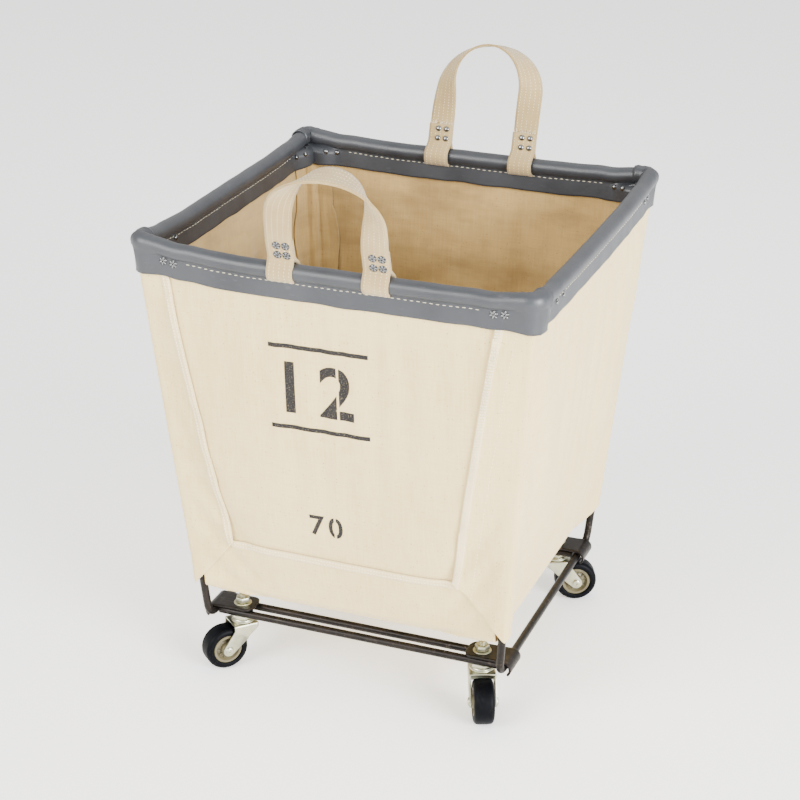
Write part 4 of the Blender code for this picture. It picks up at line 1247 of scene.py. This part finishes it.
def makePlate(corner):
    signX, signY = corners[corner]
    low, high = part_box("plate_" + corner)
    stem = Vector(joints["swivel_" + corner]["pos_m"])
    top = high.z if high.z < wireZ + 0.012 else wireZ + wireRadius + 0.0003 + plate["thickness"]
    flatZ = top - plate["thickness"] / 2
    curl = wireRadius + plate["curl"] + plate["thickness"] / 2
    centreX, centreZ = abs(uprightLine(1, 1)[0].x) + 0.0009, wireZ - 0.0006
    start = abs(stem.x) - plate["inner"]
    line = [(start + (centreX - curl * 0.75 - start) * i / 18, flatZ) for i in range(19)]
    for i in range(1, 17):
        turn = math.radians(mixed(112, -52, i / 16))
        line.append((centreX + curl * math.cos(turn), centreZ + curl * math.sin(turn)))
    columns = len(line) - 1
    work = gridSheet(columns, 12)
    for vert in work.verts:
        x, z = line[round((vert.co.x + 0.5) * columns)]
        half = plate["halfWidth"]
        inner = x - start
        if inner < plate["round"] and z > wireZ:
            half += math.sqrt(max(0.0, plate["round"] ** 2 - (plate["round"] - inner) ** 2)) - plate["round"]
        flare = 0.0016 * smoothStep((x - (centreX - 0.012)) / 0.014)      # the curled end is a little wider
        vert.co = (signX * x, stem.y + vert.co.y * 2 * (half + flare), z)
    if signX < 0:
        bmesh.ops.reverse_faces(work, faces=work.faces)
    piece = addPiece("pressed_plate_" + corner, work, steel,
                     stands=["plate_" + corner], crease=50)
    thicken(piece, plate["thickness"])
    softEdge(piece, 0.0004, 50)


# ---- casters
caster = {
    "forkThickness": 0.0020, "eye": 0.0068, "front": 0.0135, "rear": 0.0165, "drop": 0.0070, "bend": 0.0024,
    "reach": 0.0160, "tyreWidth": 0.0230, "shoulder": 0.0052, "coreRadius": 0.0170,
}


def swivelPlace(corner):
    pivot = Vector(joints["swivel_" + corner]["pos_m"])
    axis = Vector(joints["roll_" + corner]["axis"])
    turn = math.atan2(-axis.x, axis.y)
    wheel = Vector(joints["roll_" + corner]["pos_m"])
    return pivot, turn, wheel


def makeFork(corner):
    pivot, turn, wheel = swivelPlace(corner)
    trail = (wheel - pivot).to_2d().length
    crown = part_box("fork_" + corner)[1].z
    width = caster["tyreWidth"] / 2 + 0.0016 + caster["forkThickness"]
    eye, shoulderZ = Vector((trail, 0, wheel.z)), crown - caster["drop"]
    towards = math.degrees(math.atan2(eye.z - shoulderZ, eye.x + caster["front"]))
    back = math.degrees(math.atan2(shoulderZ - eye.z, caster["rear"] - eye.x))
    outline = [(-caster["front"], crown), (-caster["front"], shoulderZ)]
    for i in range(17):
        angle = math.radians(mixed(towards - 100, back - 78, i / 16))
        outline.append((eye.x + caster["eye"] * math.cos(angle), eye.z + caster["eye"] * math.sin(angle)))
    outline += [(caster["rear"], shoulderZ), (caster["rear"], crown)]
    work = bmesh.new()
    side = work.faces.new([work.verts.new((x, -width, z)) for x, z in outline])
    made = bmesh.ops.extrude_face_region(work, geom=[side])["geom"]
    moved = [item for item in made if isinstance(item, bmesh.types.BMVert)]
    bmesh.ops.translate(work, vec=(0, 2 * width, 0), verts=moved)
    bmesh.ops.recalc_face_normals(work, faces=work.faces)
    shoulder = Vector((-caster["front"], 0, shoulderZ))
    slope = Vector((eye.x + caster["front"], 0, eye.z - shoulderZ)).normalized()
    cutPlane(work, shoulder + slope * caster["reach"], slope)
    doomed = []
    for face in work.faces:
        spot = face.calc_center_median()
        if abs(face.normal.y) > 0.9 or face.normal.z > 0.9:
            continue
        onward = (spot - shoulder).dot(slope)
        if not (face.normal.x < -0.3 and onward < caster["reach"]):
            doomed.append(face)
    bmesh.ops.delete(work, geom=doomed, context="FACES")
    bends = [edge for edge in work.edges if len(edge.link_faces) == 2 and edge.calc_face_angle(0) > 0.35]
    bevelled(work, bends, caster["bend"], 5)
    bmesh.ops.triangulate(work, faces=[face for face in work.faces if len(face.verts) > 4])
    place = Matrix.Translation((pivot.x, pivot.y, 0)) @ Matrix.Rotation(turn, 4, "Z")
    bmesh.ops.transform(work, matrix=place, verts=work.verts)
    piece = addPiece("pressed_fork_" + corner, work, zinc, "swivel_" + corner, ["fork_" + corner], 35)
    thicken(piece, caster["forkThickness"], -1.0)
    softEdge(piece, 0.00035, 60)


def makeWheel(corner):
    pivot, turn, wheel = swivelPlace(corner)
    place = Matrix.Translation(wheel) @ Matrix.Rotation(turn, 4, "Z")
    place = place @ Matrix.Rotation(math.radians(90), 4, "X")
    half, outer, soft = caster["tyreWidth"] / 2, wheel.z, caster["shoulder"]
    inner = caster["coreRadius"] + 0.0002
    ring = [(inner, -half + 0.0008), (inner + 0.0008, -half)]
    ring += [(outer - soft + soft * math.sin(t), -half + soft - soft * math.cos(t)) for t in
             [math.radians(90 * i / 7) for i in range(8)]]
    ring += [(outer, 0.0)]
    ring += [(outer - soft + soft * math.cos(t), half - soft + soft * math.sin(t)) for t in
             [math.radians(90 * i / 7) for i in range(8)]]
    ring += [(inner + 0.0008, half), (inner, half - 0.0008), (inner, -half + 0.0008)]
    turnedPiece("tyre_ring_" + corner, ring, 56, place, rubber, "wheel_" + corner,
                "tyre_" + corner, 50)

    edge, rimIn, hub = caster["coreRadius"], caster["coreRadius"] - 0.0034, 0.0072
    face, web, end = 0.0108, 0.0062, half + 0.0010
    side = [(edge, face - 0.0006), (edge - 0.0006, face), (rimIn + 0.0005, face), (rimIn, face - 0.0006),
            (rimIn - 0.0012, web + 0.0010), (rimIn - 0.0022, web), (hub + 0.0020, web),
            (hub + 0.0008, web + 0.0008), (hub + 0.0003, end - 0.0006), (hub - 0.0004, end), (0.0034, end)]
    ring = side + [(radius, -height) for radius, height in reversed(side)] + [side[0]]
    work = bmesh.new()
    turnedInto(work, ring, 48, place)
    for i in range(10):                                               # low ribs in the recess
        spin = Matrix.Rotation(i * math.pi / 5, 4, "Z")
        for sign in (-1, 1):
            middle = Matrix.Translation(((rimIn + hub) / 2, 0, sign * (web + 0.0004)))
            part = bmesh.new()
            bmesh.ops.create_cube(part, size=1)
            bmesh.ops.scale(part, vec=(rimIn - hub - 0.001, 0.0012, 0.0018), verts=part.verts)
            bevelled(part, part.edges[:], 0.0003, 2)
            bmesh.ops.transform(part, matrix=place @ spin @ middle, verts=part.verts)
            joinInto(work, part)
    addPiece("wheel_core_" + corner, work, wheelPlastic, "wheel_" + corner,
             ["core_" + corner], 40)

    leg = half + 0.0016 + caster["forkThickness"]
    head = [(0.0, leg + 0.0009), (0.0011, leg + 0.0009), (0.0016, leg + 0.0019), (0.0034, leg + 0.0019),
            (0.0046, leg + 0.0013), (0.0050, leg + 0.0004), (0.0050, leg + 0.0001), (0.0030, leg)]
    ring = head + [(radius, -height) for radius, height in reversed(head)]
    turnedPiece("axle_rivet_" + corner, ring, 28, place, zinc, "wheel_" + corner, "axle_" + corner)


def makeSwivelParts(corner):
    pivot, turn, wheel = swivelPlace(corner)
    place = Matrix.Translation((pivot.x, pivot.y, 0)) @ Matrix.Rotation(turn, 4, "Z")
    low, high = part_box("raceway_" + corner)
    ring = [(0.0054, low.z), (0.0054, high.z), (0.0112, high.z), (0.0122, high.z - 0.0004),
            (0.0128, high.z - 0.0012), (0.0130, high.z - 0.0018), (0.0138, high.z - 0.0021),
            (0.0140, high.z - 0.0028), (0.0140, low.z), (0.0054, low.z)]
    turnedPiece("raceway_cup_" + corner, ring, 48, place, zinc, "swivel_" + corner,
                "raceway_" + corner)

    low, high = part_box("stem_" + corner)
    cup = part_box("raceway_" + corner)[1].z
    flange, under = cup + 0.0003, wireZ - wireRadius - 0.0003
    fixed = Matrix.Translation((pivot.x, pivot.y, 0))
    ring = [(0.0, low.z), (0.0048, low.z), (0.0070, low.z + 0.0008), (0.0072, low.z + 0.0026),
            (0.0050, low.z + 0.0026), (0.0050, flange + 0.001), (0.0047, under)]
    z = under + 0.002
    while z < high.z - 0.0016:                                        # thread
        ring += [(0.00475, z), (0.00475, z + 0.0002), (0.00415, z + 0.0006), (0.00415, z + 0.0007)]
        z += 0.0011
    ring += [(0.0047, high.z - 0.0012), (0.0037, high.z), (0.0, high.z)]
    work = bmesh.new()
    turnedInto(work, ring, 28, fixed)
    part = bmesh.new()
    radius = 0.0240 / math.sqrt(3)
    spot = fixed @ Matrix.Translation((0, 0, (under + flange) / 2))
    spot = spot @ Matrix.Rotation(math.radians(30), 4, "Z")
    bmesh.ops.create_cone(part, cap_ends=True, segments=6, radius1=radius, radius2=radius,
                          depth=under - flange, matrix=spot)
    bevelled(part, part.edges[:], 0.0005, 3)
    joinInto(work, part)
    addPiece("threaded_stem_" + corner, work, zinc, "root", ["stem_" + corner], 35)

    low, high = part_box("washer_" + corner)
    ring = [(0.0051, low.z), (0.0051, high.z), (0.0099, high.z), (0.0103, high.z - 0.0004),
            (0.0103, low.z), (0.0051, low.z)]
    turnedPiece("flat_washer_" + corner, ring, 40, fixed, zinc, "root", "washer_" + corner)

    low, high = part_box("nut_" + corner)
    radius = 0.0143 / math.sqrt(3)
    part = bmesh.new()
    spin = Matrix.Rotation(math.radians(18 if pivot.x < 0 else 42), 4, "Z")
    bmesh.ops.create_cone(part, cap_ends=True, segments=6, radius1=radius, radius2=radius,
                          depth=high.z - low.z,
                          matrix=fixed @ spin @ Matrix.Translation((0, 0, (high.z + low.z) / 2)))
    tops = [edge for edge in part.edges if abs(edge.verts[0].co.z - edge.verts[1].co.z) < 1e-5]
    bevelled(part, tops, 0.0009, 3)
    for face in [face for face in part.faces if abs(face.normal.z) > 0.9 and len(face.verts) >= 6]:
        bmesh.ops.inset_region(part, faces=[face], thickness=0.0012)
    work = bmesh.new()
    joinInto(work, part)
    addPiece("hex_nut_" + corner, work, zinc, "root", ["nut_" + corner], 30)


makeSteel()
for corner in corners:
    makePlate(corner)
    makeFork(corner)
    makeWheel(corner)
    makeSwivelParts(corner)
print("frame and casters made")


# ---- webbing handles
strap = {
    "width": 0.0285, "thickness": 0.0026, "halfSpan": 0.052, "lap": 0.0375, "pinch": 0.0160, "lean": 15.0,
    "height": {-1: 0.122, 1: 0.136}, "skew": {-1: 0.011, 1: 0.002}, "loop": 0.0110, "ply": 0.00118,
    "rows": (-0.0112, -0.0058, 0.0, 0.0058, 0.0112),
}


def strapStations(signY):
    # half of the strap from its cut end, round the roll and up to the top of the arch
    meet = strap["thickness"] / 2 + 0.00015
    reach = math.hypot(meet, strap["pinch"])
    tangent = math.degrees(math.atan2(meet, strap["pinch"]) + math.acos(strap["loop"] / reach))
    side = -strap["halfSpan"]
    half = [(side, -meet, mixed(strap["lap"], strap["pinch"], i / 5), 0, 0) for i in range(6)]
    for i in range(25):
        turn = math.radians(mixed(90 + tangent, 450 - tangent, i / 24))
        half.append((side, strap["loop"] * math.cos(turn), strap["loop"] * math.sin(turn), 0, 0))
    half += [(side, meet, mixed(strap["pinch"], strap["lap"], i / 5), 0, 0) for i in range(6)]
    rise = strap["height"][signY] - strap["halfSpan"] - strap["thickness"] / 2
    whole = rise - strap["lap"] + strap["halfSpan"] * math.pi / 2
    for i in range(1, 45):
        share = i / 44
        run = share * whole
        twist = 90 * (3 * share ** 2 - 2 * share ** 3)
        outward = meet * (1 - share)
        if run < rise - strap["lap"]:
            half.append((side, outward, strap["lap"] + run, twist, 0))
            continue
        bend = (run - (rise - strap["lap"])) / strap["halfSpan"]
        top = rise + strap["halfSpan"] * math.sin(bend)
        half.append((side * math.cos(bend), outward, top, twist, math.degrees(bend)))
    rows = [(*spot, 1) for spot in half] + [(-spot[0], *spot[1:], -1) for spot in reversed(half[:-1])]
    reach = strap["height"][signY] - strap["lap"]
    skew = strap["skew"][signY]
    rows = [(row[0] + skew * max(0.0, (row[2] - strap["lap"]) / reach) ** 1.3, *row[1:]) for row in rows]
    centres = [Vector(row[:3]) for row in rows]
    stations, run = [], 0.0
    for i, row in enumerate(rows):
        twist, bend, hand = row[3:]
        along = (centres[min(i + 1, len(rows) - 1)] - centres[max(i - 1, 0)]).normalized()
        wide = Vector((math.cos(math.radians(twist)) * hand, -math.sin(math.radians(twist)), 0))
        wide = Matrix.Rotation(math.radians(bend * hand), 3, "Y") @ wide
        wide = (wide - along * wide.dot(along)).normalized()
        if i:
            run += (centres[i] - centres[i - 1]).length
        stations.append((centres[i], wide, along.cross(wide), along, run))
    return stations


def handlePlace(signY):
    # from a strap's own frame (across, outwards, up) to the basket's
    tilt = math.radians(strap["lean"])
    cosine, sine = math.cos(tilt), math.sin(tilt)
    turn = Matrix(((1, 0, 0), (0, signY * cosine, signY * sine), (0, -sine, cosine)))
    pivot = joints["handle_front_swing" if signY < 0 else "handle_back_swing"]["pos_m"]
    return Matrix.Translation(pivot) @ turn.to_4x4()


def makeHandle(name, signY, bodyName, node):
    stations = strapStations(signY)
    place = handlePlace(signY)
    turn = place.to_3x3()
    count = len(stations) - 1
    sheets = []
    for ply in (-1, 1):
        part = gridSheet(count, 8)
        marks = {}
        for vert in part.verts:
            centre, wide, normal, along, run = stations[round((vert.co.x + 0.5) * count)]
            across = vert.co.y * strap["width"]
            edge = 0.0004 * noise.noise(Vector((run * 60, across * 20, ply * 3 + signY)))
            edge *= (abs(vert.co.y) * 2) ** 4
            wave = 0.00022 * noise.noise(Vector((run * 70, across * 60, signY * 4)))
            lift = ply * (strap["ply"] / 2 + 0.00012) + wave
            marks[vert] = (across + 0.5 * ply, run)
            vert.co = place @ (centre + wide * (across + math.copysign(edge, across)) + normal * lift)
        writeUv(part, lambda vert, face: marks[vert])
        if ply < 0:
            bmesh.ops.reverse_faces(part, faces=part.faces)
        sheets.append(part)
    pieces = []
    for part, label in zip(sheets, ("inner", "outer")):
        piece = addPiece(name + "_" + label + "_ply", part, webbing, bodyName, [node], 60)
        thicken(piece, strap["ply"])
        pieces.append(piece)
    work = bmesh.new()
    lift = strap["thickness"] / 2 - 0.0001
    for across in strap["rows"]:
        step, gone = 0.0034, 0.006
        for centre, wide, normal, along, run in resample(stations, step):
            if run < gone or run > stations[-1][4] - gone:
                continue
            for sign in (-1, 1):
                shift = across + dice.uniform(-0.0001, 0.0001)
                spot = place @ (centre + wide * shift + normal * sign * lift)
                stitchInto(work, spot, turn @ along, turn @ (normal * sign), (0.0021, 0.0007, 0.0005))
    addPiece(name + "_stitches", work, strapThread, bodyName)
    work = bmesh.new()
    for end, (centre, wide, normal, along, run) in ((-1, stations[0]), (1, stations[-1])):
        for i in range(70):
            across = dice.uniform(-0.5, 0.5) * strap["width"]
            level = dice.uniform(-0.5, 0.5) * strap["thickness"] * 0.8
            lean = wide * dice.uniform(-0.5, 0.5) + normal * dice.uniform(-0.5, 0.5)
            length = dice.uniform(0.0016, 0.0052)
            aim = (along * end + lean).normalized()
            spot = centre + wide * across + normal * level + aim * length * 0.4
            bmesh.ops.create_cone(work, cap_ends=True, segments=4, radius1=0.00028, radius2=0.00008,
                                  depth=length,
                                  matrix=axesMatrix(place @ spot, turn @ aim.orthogonal(), turn @ aim))
    addPiece(name + "_frayed_ends", work, frayedThread, bodyName)
    work, shadeDiscs = bmesh.new(), bmesh.new()
    for hand in (-1, 1):
        for shift in (-0.0044, 0.0056):
            for height in (0.0205, 0.0318):
                x = hand * strap["halfSpan"] + 0.0018 + shift
                meet = strap["thickness"] + 0.0002
                spot, facing = place @ Vector((x, meet, height)), turn @ Vector((0, 1, 0))
                clinchInto(work, spot, facing, 0.0048, x * 70 + height * 200)
                discInto(shadeDiscs, spot, facing, 0.0046)
                domeInto(work, place @ Vector((x, -meet, height)), -facing, 0.0035, 0.0021)
    addPiece(name + "_rivets", work, nickel, bodyName)
    addPiece(name + "_rivet_shade", shadeDiscs, rivetShade, bodyName)
    return pieces


def resample(stations, step):
    # evenly spaced stations along a strap
    total, wanted, i = stations[-1][4], step / 2, 0
    while wanted < total:
        while stations[i + 1][4] < wanted:
            i += 1
        first, second = stations[i], stations[i + 1]
        share = (wanted - first[4]) / (second[4] - first[4])
        axes = [first[k].lerp(second[k], share).normalized() for k in (1, 2, 3)]
        yield (first[0].lerp(second[0], share), *axes, wanted)
        wanted += step


frontStraps = makeHandle("front_strap", -1, "handle_front", "front_handle")
backStraps = makeHandle("back_strap", 1, "handle_back", "back_handle")
print("handles made")


# ---- stencilled numerals: a bin number between bars and a capacity in litres
marks = {
    "number": "12", "numberHeight": 0.060, "numberAt": (-0.015, 0.390),
    "litres": "70", "litresHeight": 0.026, "litresAt": (-0.016, 0.224),
    "bridge": 0.0026, "weight": 0.022, "cell": 0.003,
}


def makeMark(name, text, height, centre, bridges):
    data = bpy.data.curves.new(name, "FONT")
    data.body = text
    data.size = height * 1.4
    data.align_x = "CENTER"
    data.space_character = 1.25
    data.offset = marks["weight"] * height
    holder = bpy.data.objects.new(name, data)
    mesh = bpy.data.meshes.new_from_object(holder)
    bpy.data.objects.remove(holder)
    work = bmesh.new()
    work.from_mesh(mesh)
    low = min(vert.co.y for vert in work.verts)
    high = max(vert.co.y for vert in work.verts)
    left = min(vert.co.x for vert in work.verts)
    right = max(vert.co.x for vert in work.verts)
    middle = Vector(((left + right) / 2, (low + high) / 2, 0))
    bmesh.ops.translate(work, vec=-middle, verts=work.verts)
    bmesh.ops.scale(work, vec=(height / (high - low),) * 3, verts=work.verts)
    width = (right - left) * height / (high - low)
    for spot in [width * share for share in bridges]:                   # the stencil's bridges
        for edge in (-1, 1):
            cutPlane(work, (spot + edge * marks["bridge"] / 2, 0, 0), (1, 0, 0))
        bridge = [face for face in work.faces
                  if abs(face.calc_center_median().x - spot) < marks["bridge"] / 2]
        bmesh.ops.delete(work, geom=bridge, context="FACES")
    drapeMark(name, work, centre)


def drapeMark(name, work, centre):
    # cut a flat mark finely and lay it on the front canvas
    reach = max(max(abs(vert.co.x), abs(vert.co.y)) for vert in work.verts)
    steps = int(reach / marks["cell"]) + 1
    for i in range(-steps, steps + 1):
        for normal in ((1, 0, 0), (0, 1, 0)):
            cutPlane(work, Vector(normal) * i * marks["cell"], normal)
    for vert in work.verts:
        vert.co = onWall(-1, centre[0] + vert.co.x, centre[1] + vert.co.y, 0.00025)[0]
    work.normal_update()
    flip = [face for face in work.faces if face.normal.y > 0]
    bmesh.ops.reverse_faces(work, faces=flip)
    addPiece(name, work, ink)


def makeBars():
    work = bmesh.new()
    for offset in (-0.047, 0.047):
        part = gridSheet(1, 1)
        bmesh.ops.scale(part, vec=(0.110, 0.0050, 1), verts=part.verts)
        bmesh.ops.translate(part, vec=(0, offset, 0), verts=part.verts)
        joinInto(work, part)
    drapeMark("stencil_bars", work, marks["numberAt"])


makeMark("stencil_number", marks["number"], marks["numberHeight"], marks["numberAt"], (-0.27, 0.27))
makeMark("stencil_litres", marks["litres"], marks["litresHeight"], marks["litresAt"], (0.27,))
makeBars()
print("numerals stencilled")


# ---- the cloth pieces' cut sizes
def flatArea(piece):
    return sum(polygon.area for polygon in piece.data.polygons)


def declareSheets():
    strips = [bpy.data.objects["vinyl_" + side] for side in bindingSides]
    cuts = [                     # pieces, cut size, how they are held, what they rest on, most area
        ([body], (0.545, 1.24), "stretched", "rim_rod_wire", 0.67),
        ([frontPanel, backPanel], (0.395, 0.36), "stretched", "rim_rod_wire", 0.142),
        (sleeves, (0.070, 0.365), "stretched", "basket_body", 0.0255),
        (hems, (0.025, 0.43), "folded", "rim_rod_wire", 0.0107),
        (strips, (0.095, 0.46), "folded", "rim_rod_wire", 0.0437),
        (frontStraps, (0.0285, 0.50), "stretched", "vinyl_front", 0.01425),
        (backStraps, (0.0285, 0.50), "stretched", "vinyl_back", 0.01425),
    ]
    for pieces, flat, held, support, most in cuts:
        for piece in pieces:
            min(most, flatArea(piece) * 1.01)


declareSheets()
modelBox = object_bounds()
boxes = {"cad": cadBox, "model": modelBox}
{name: [list(corner) for corner in box] for name, box in boxes.items()}
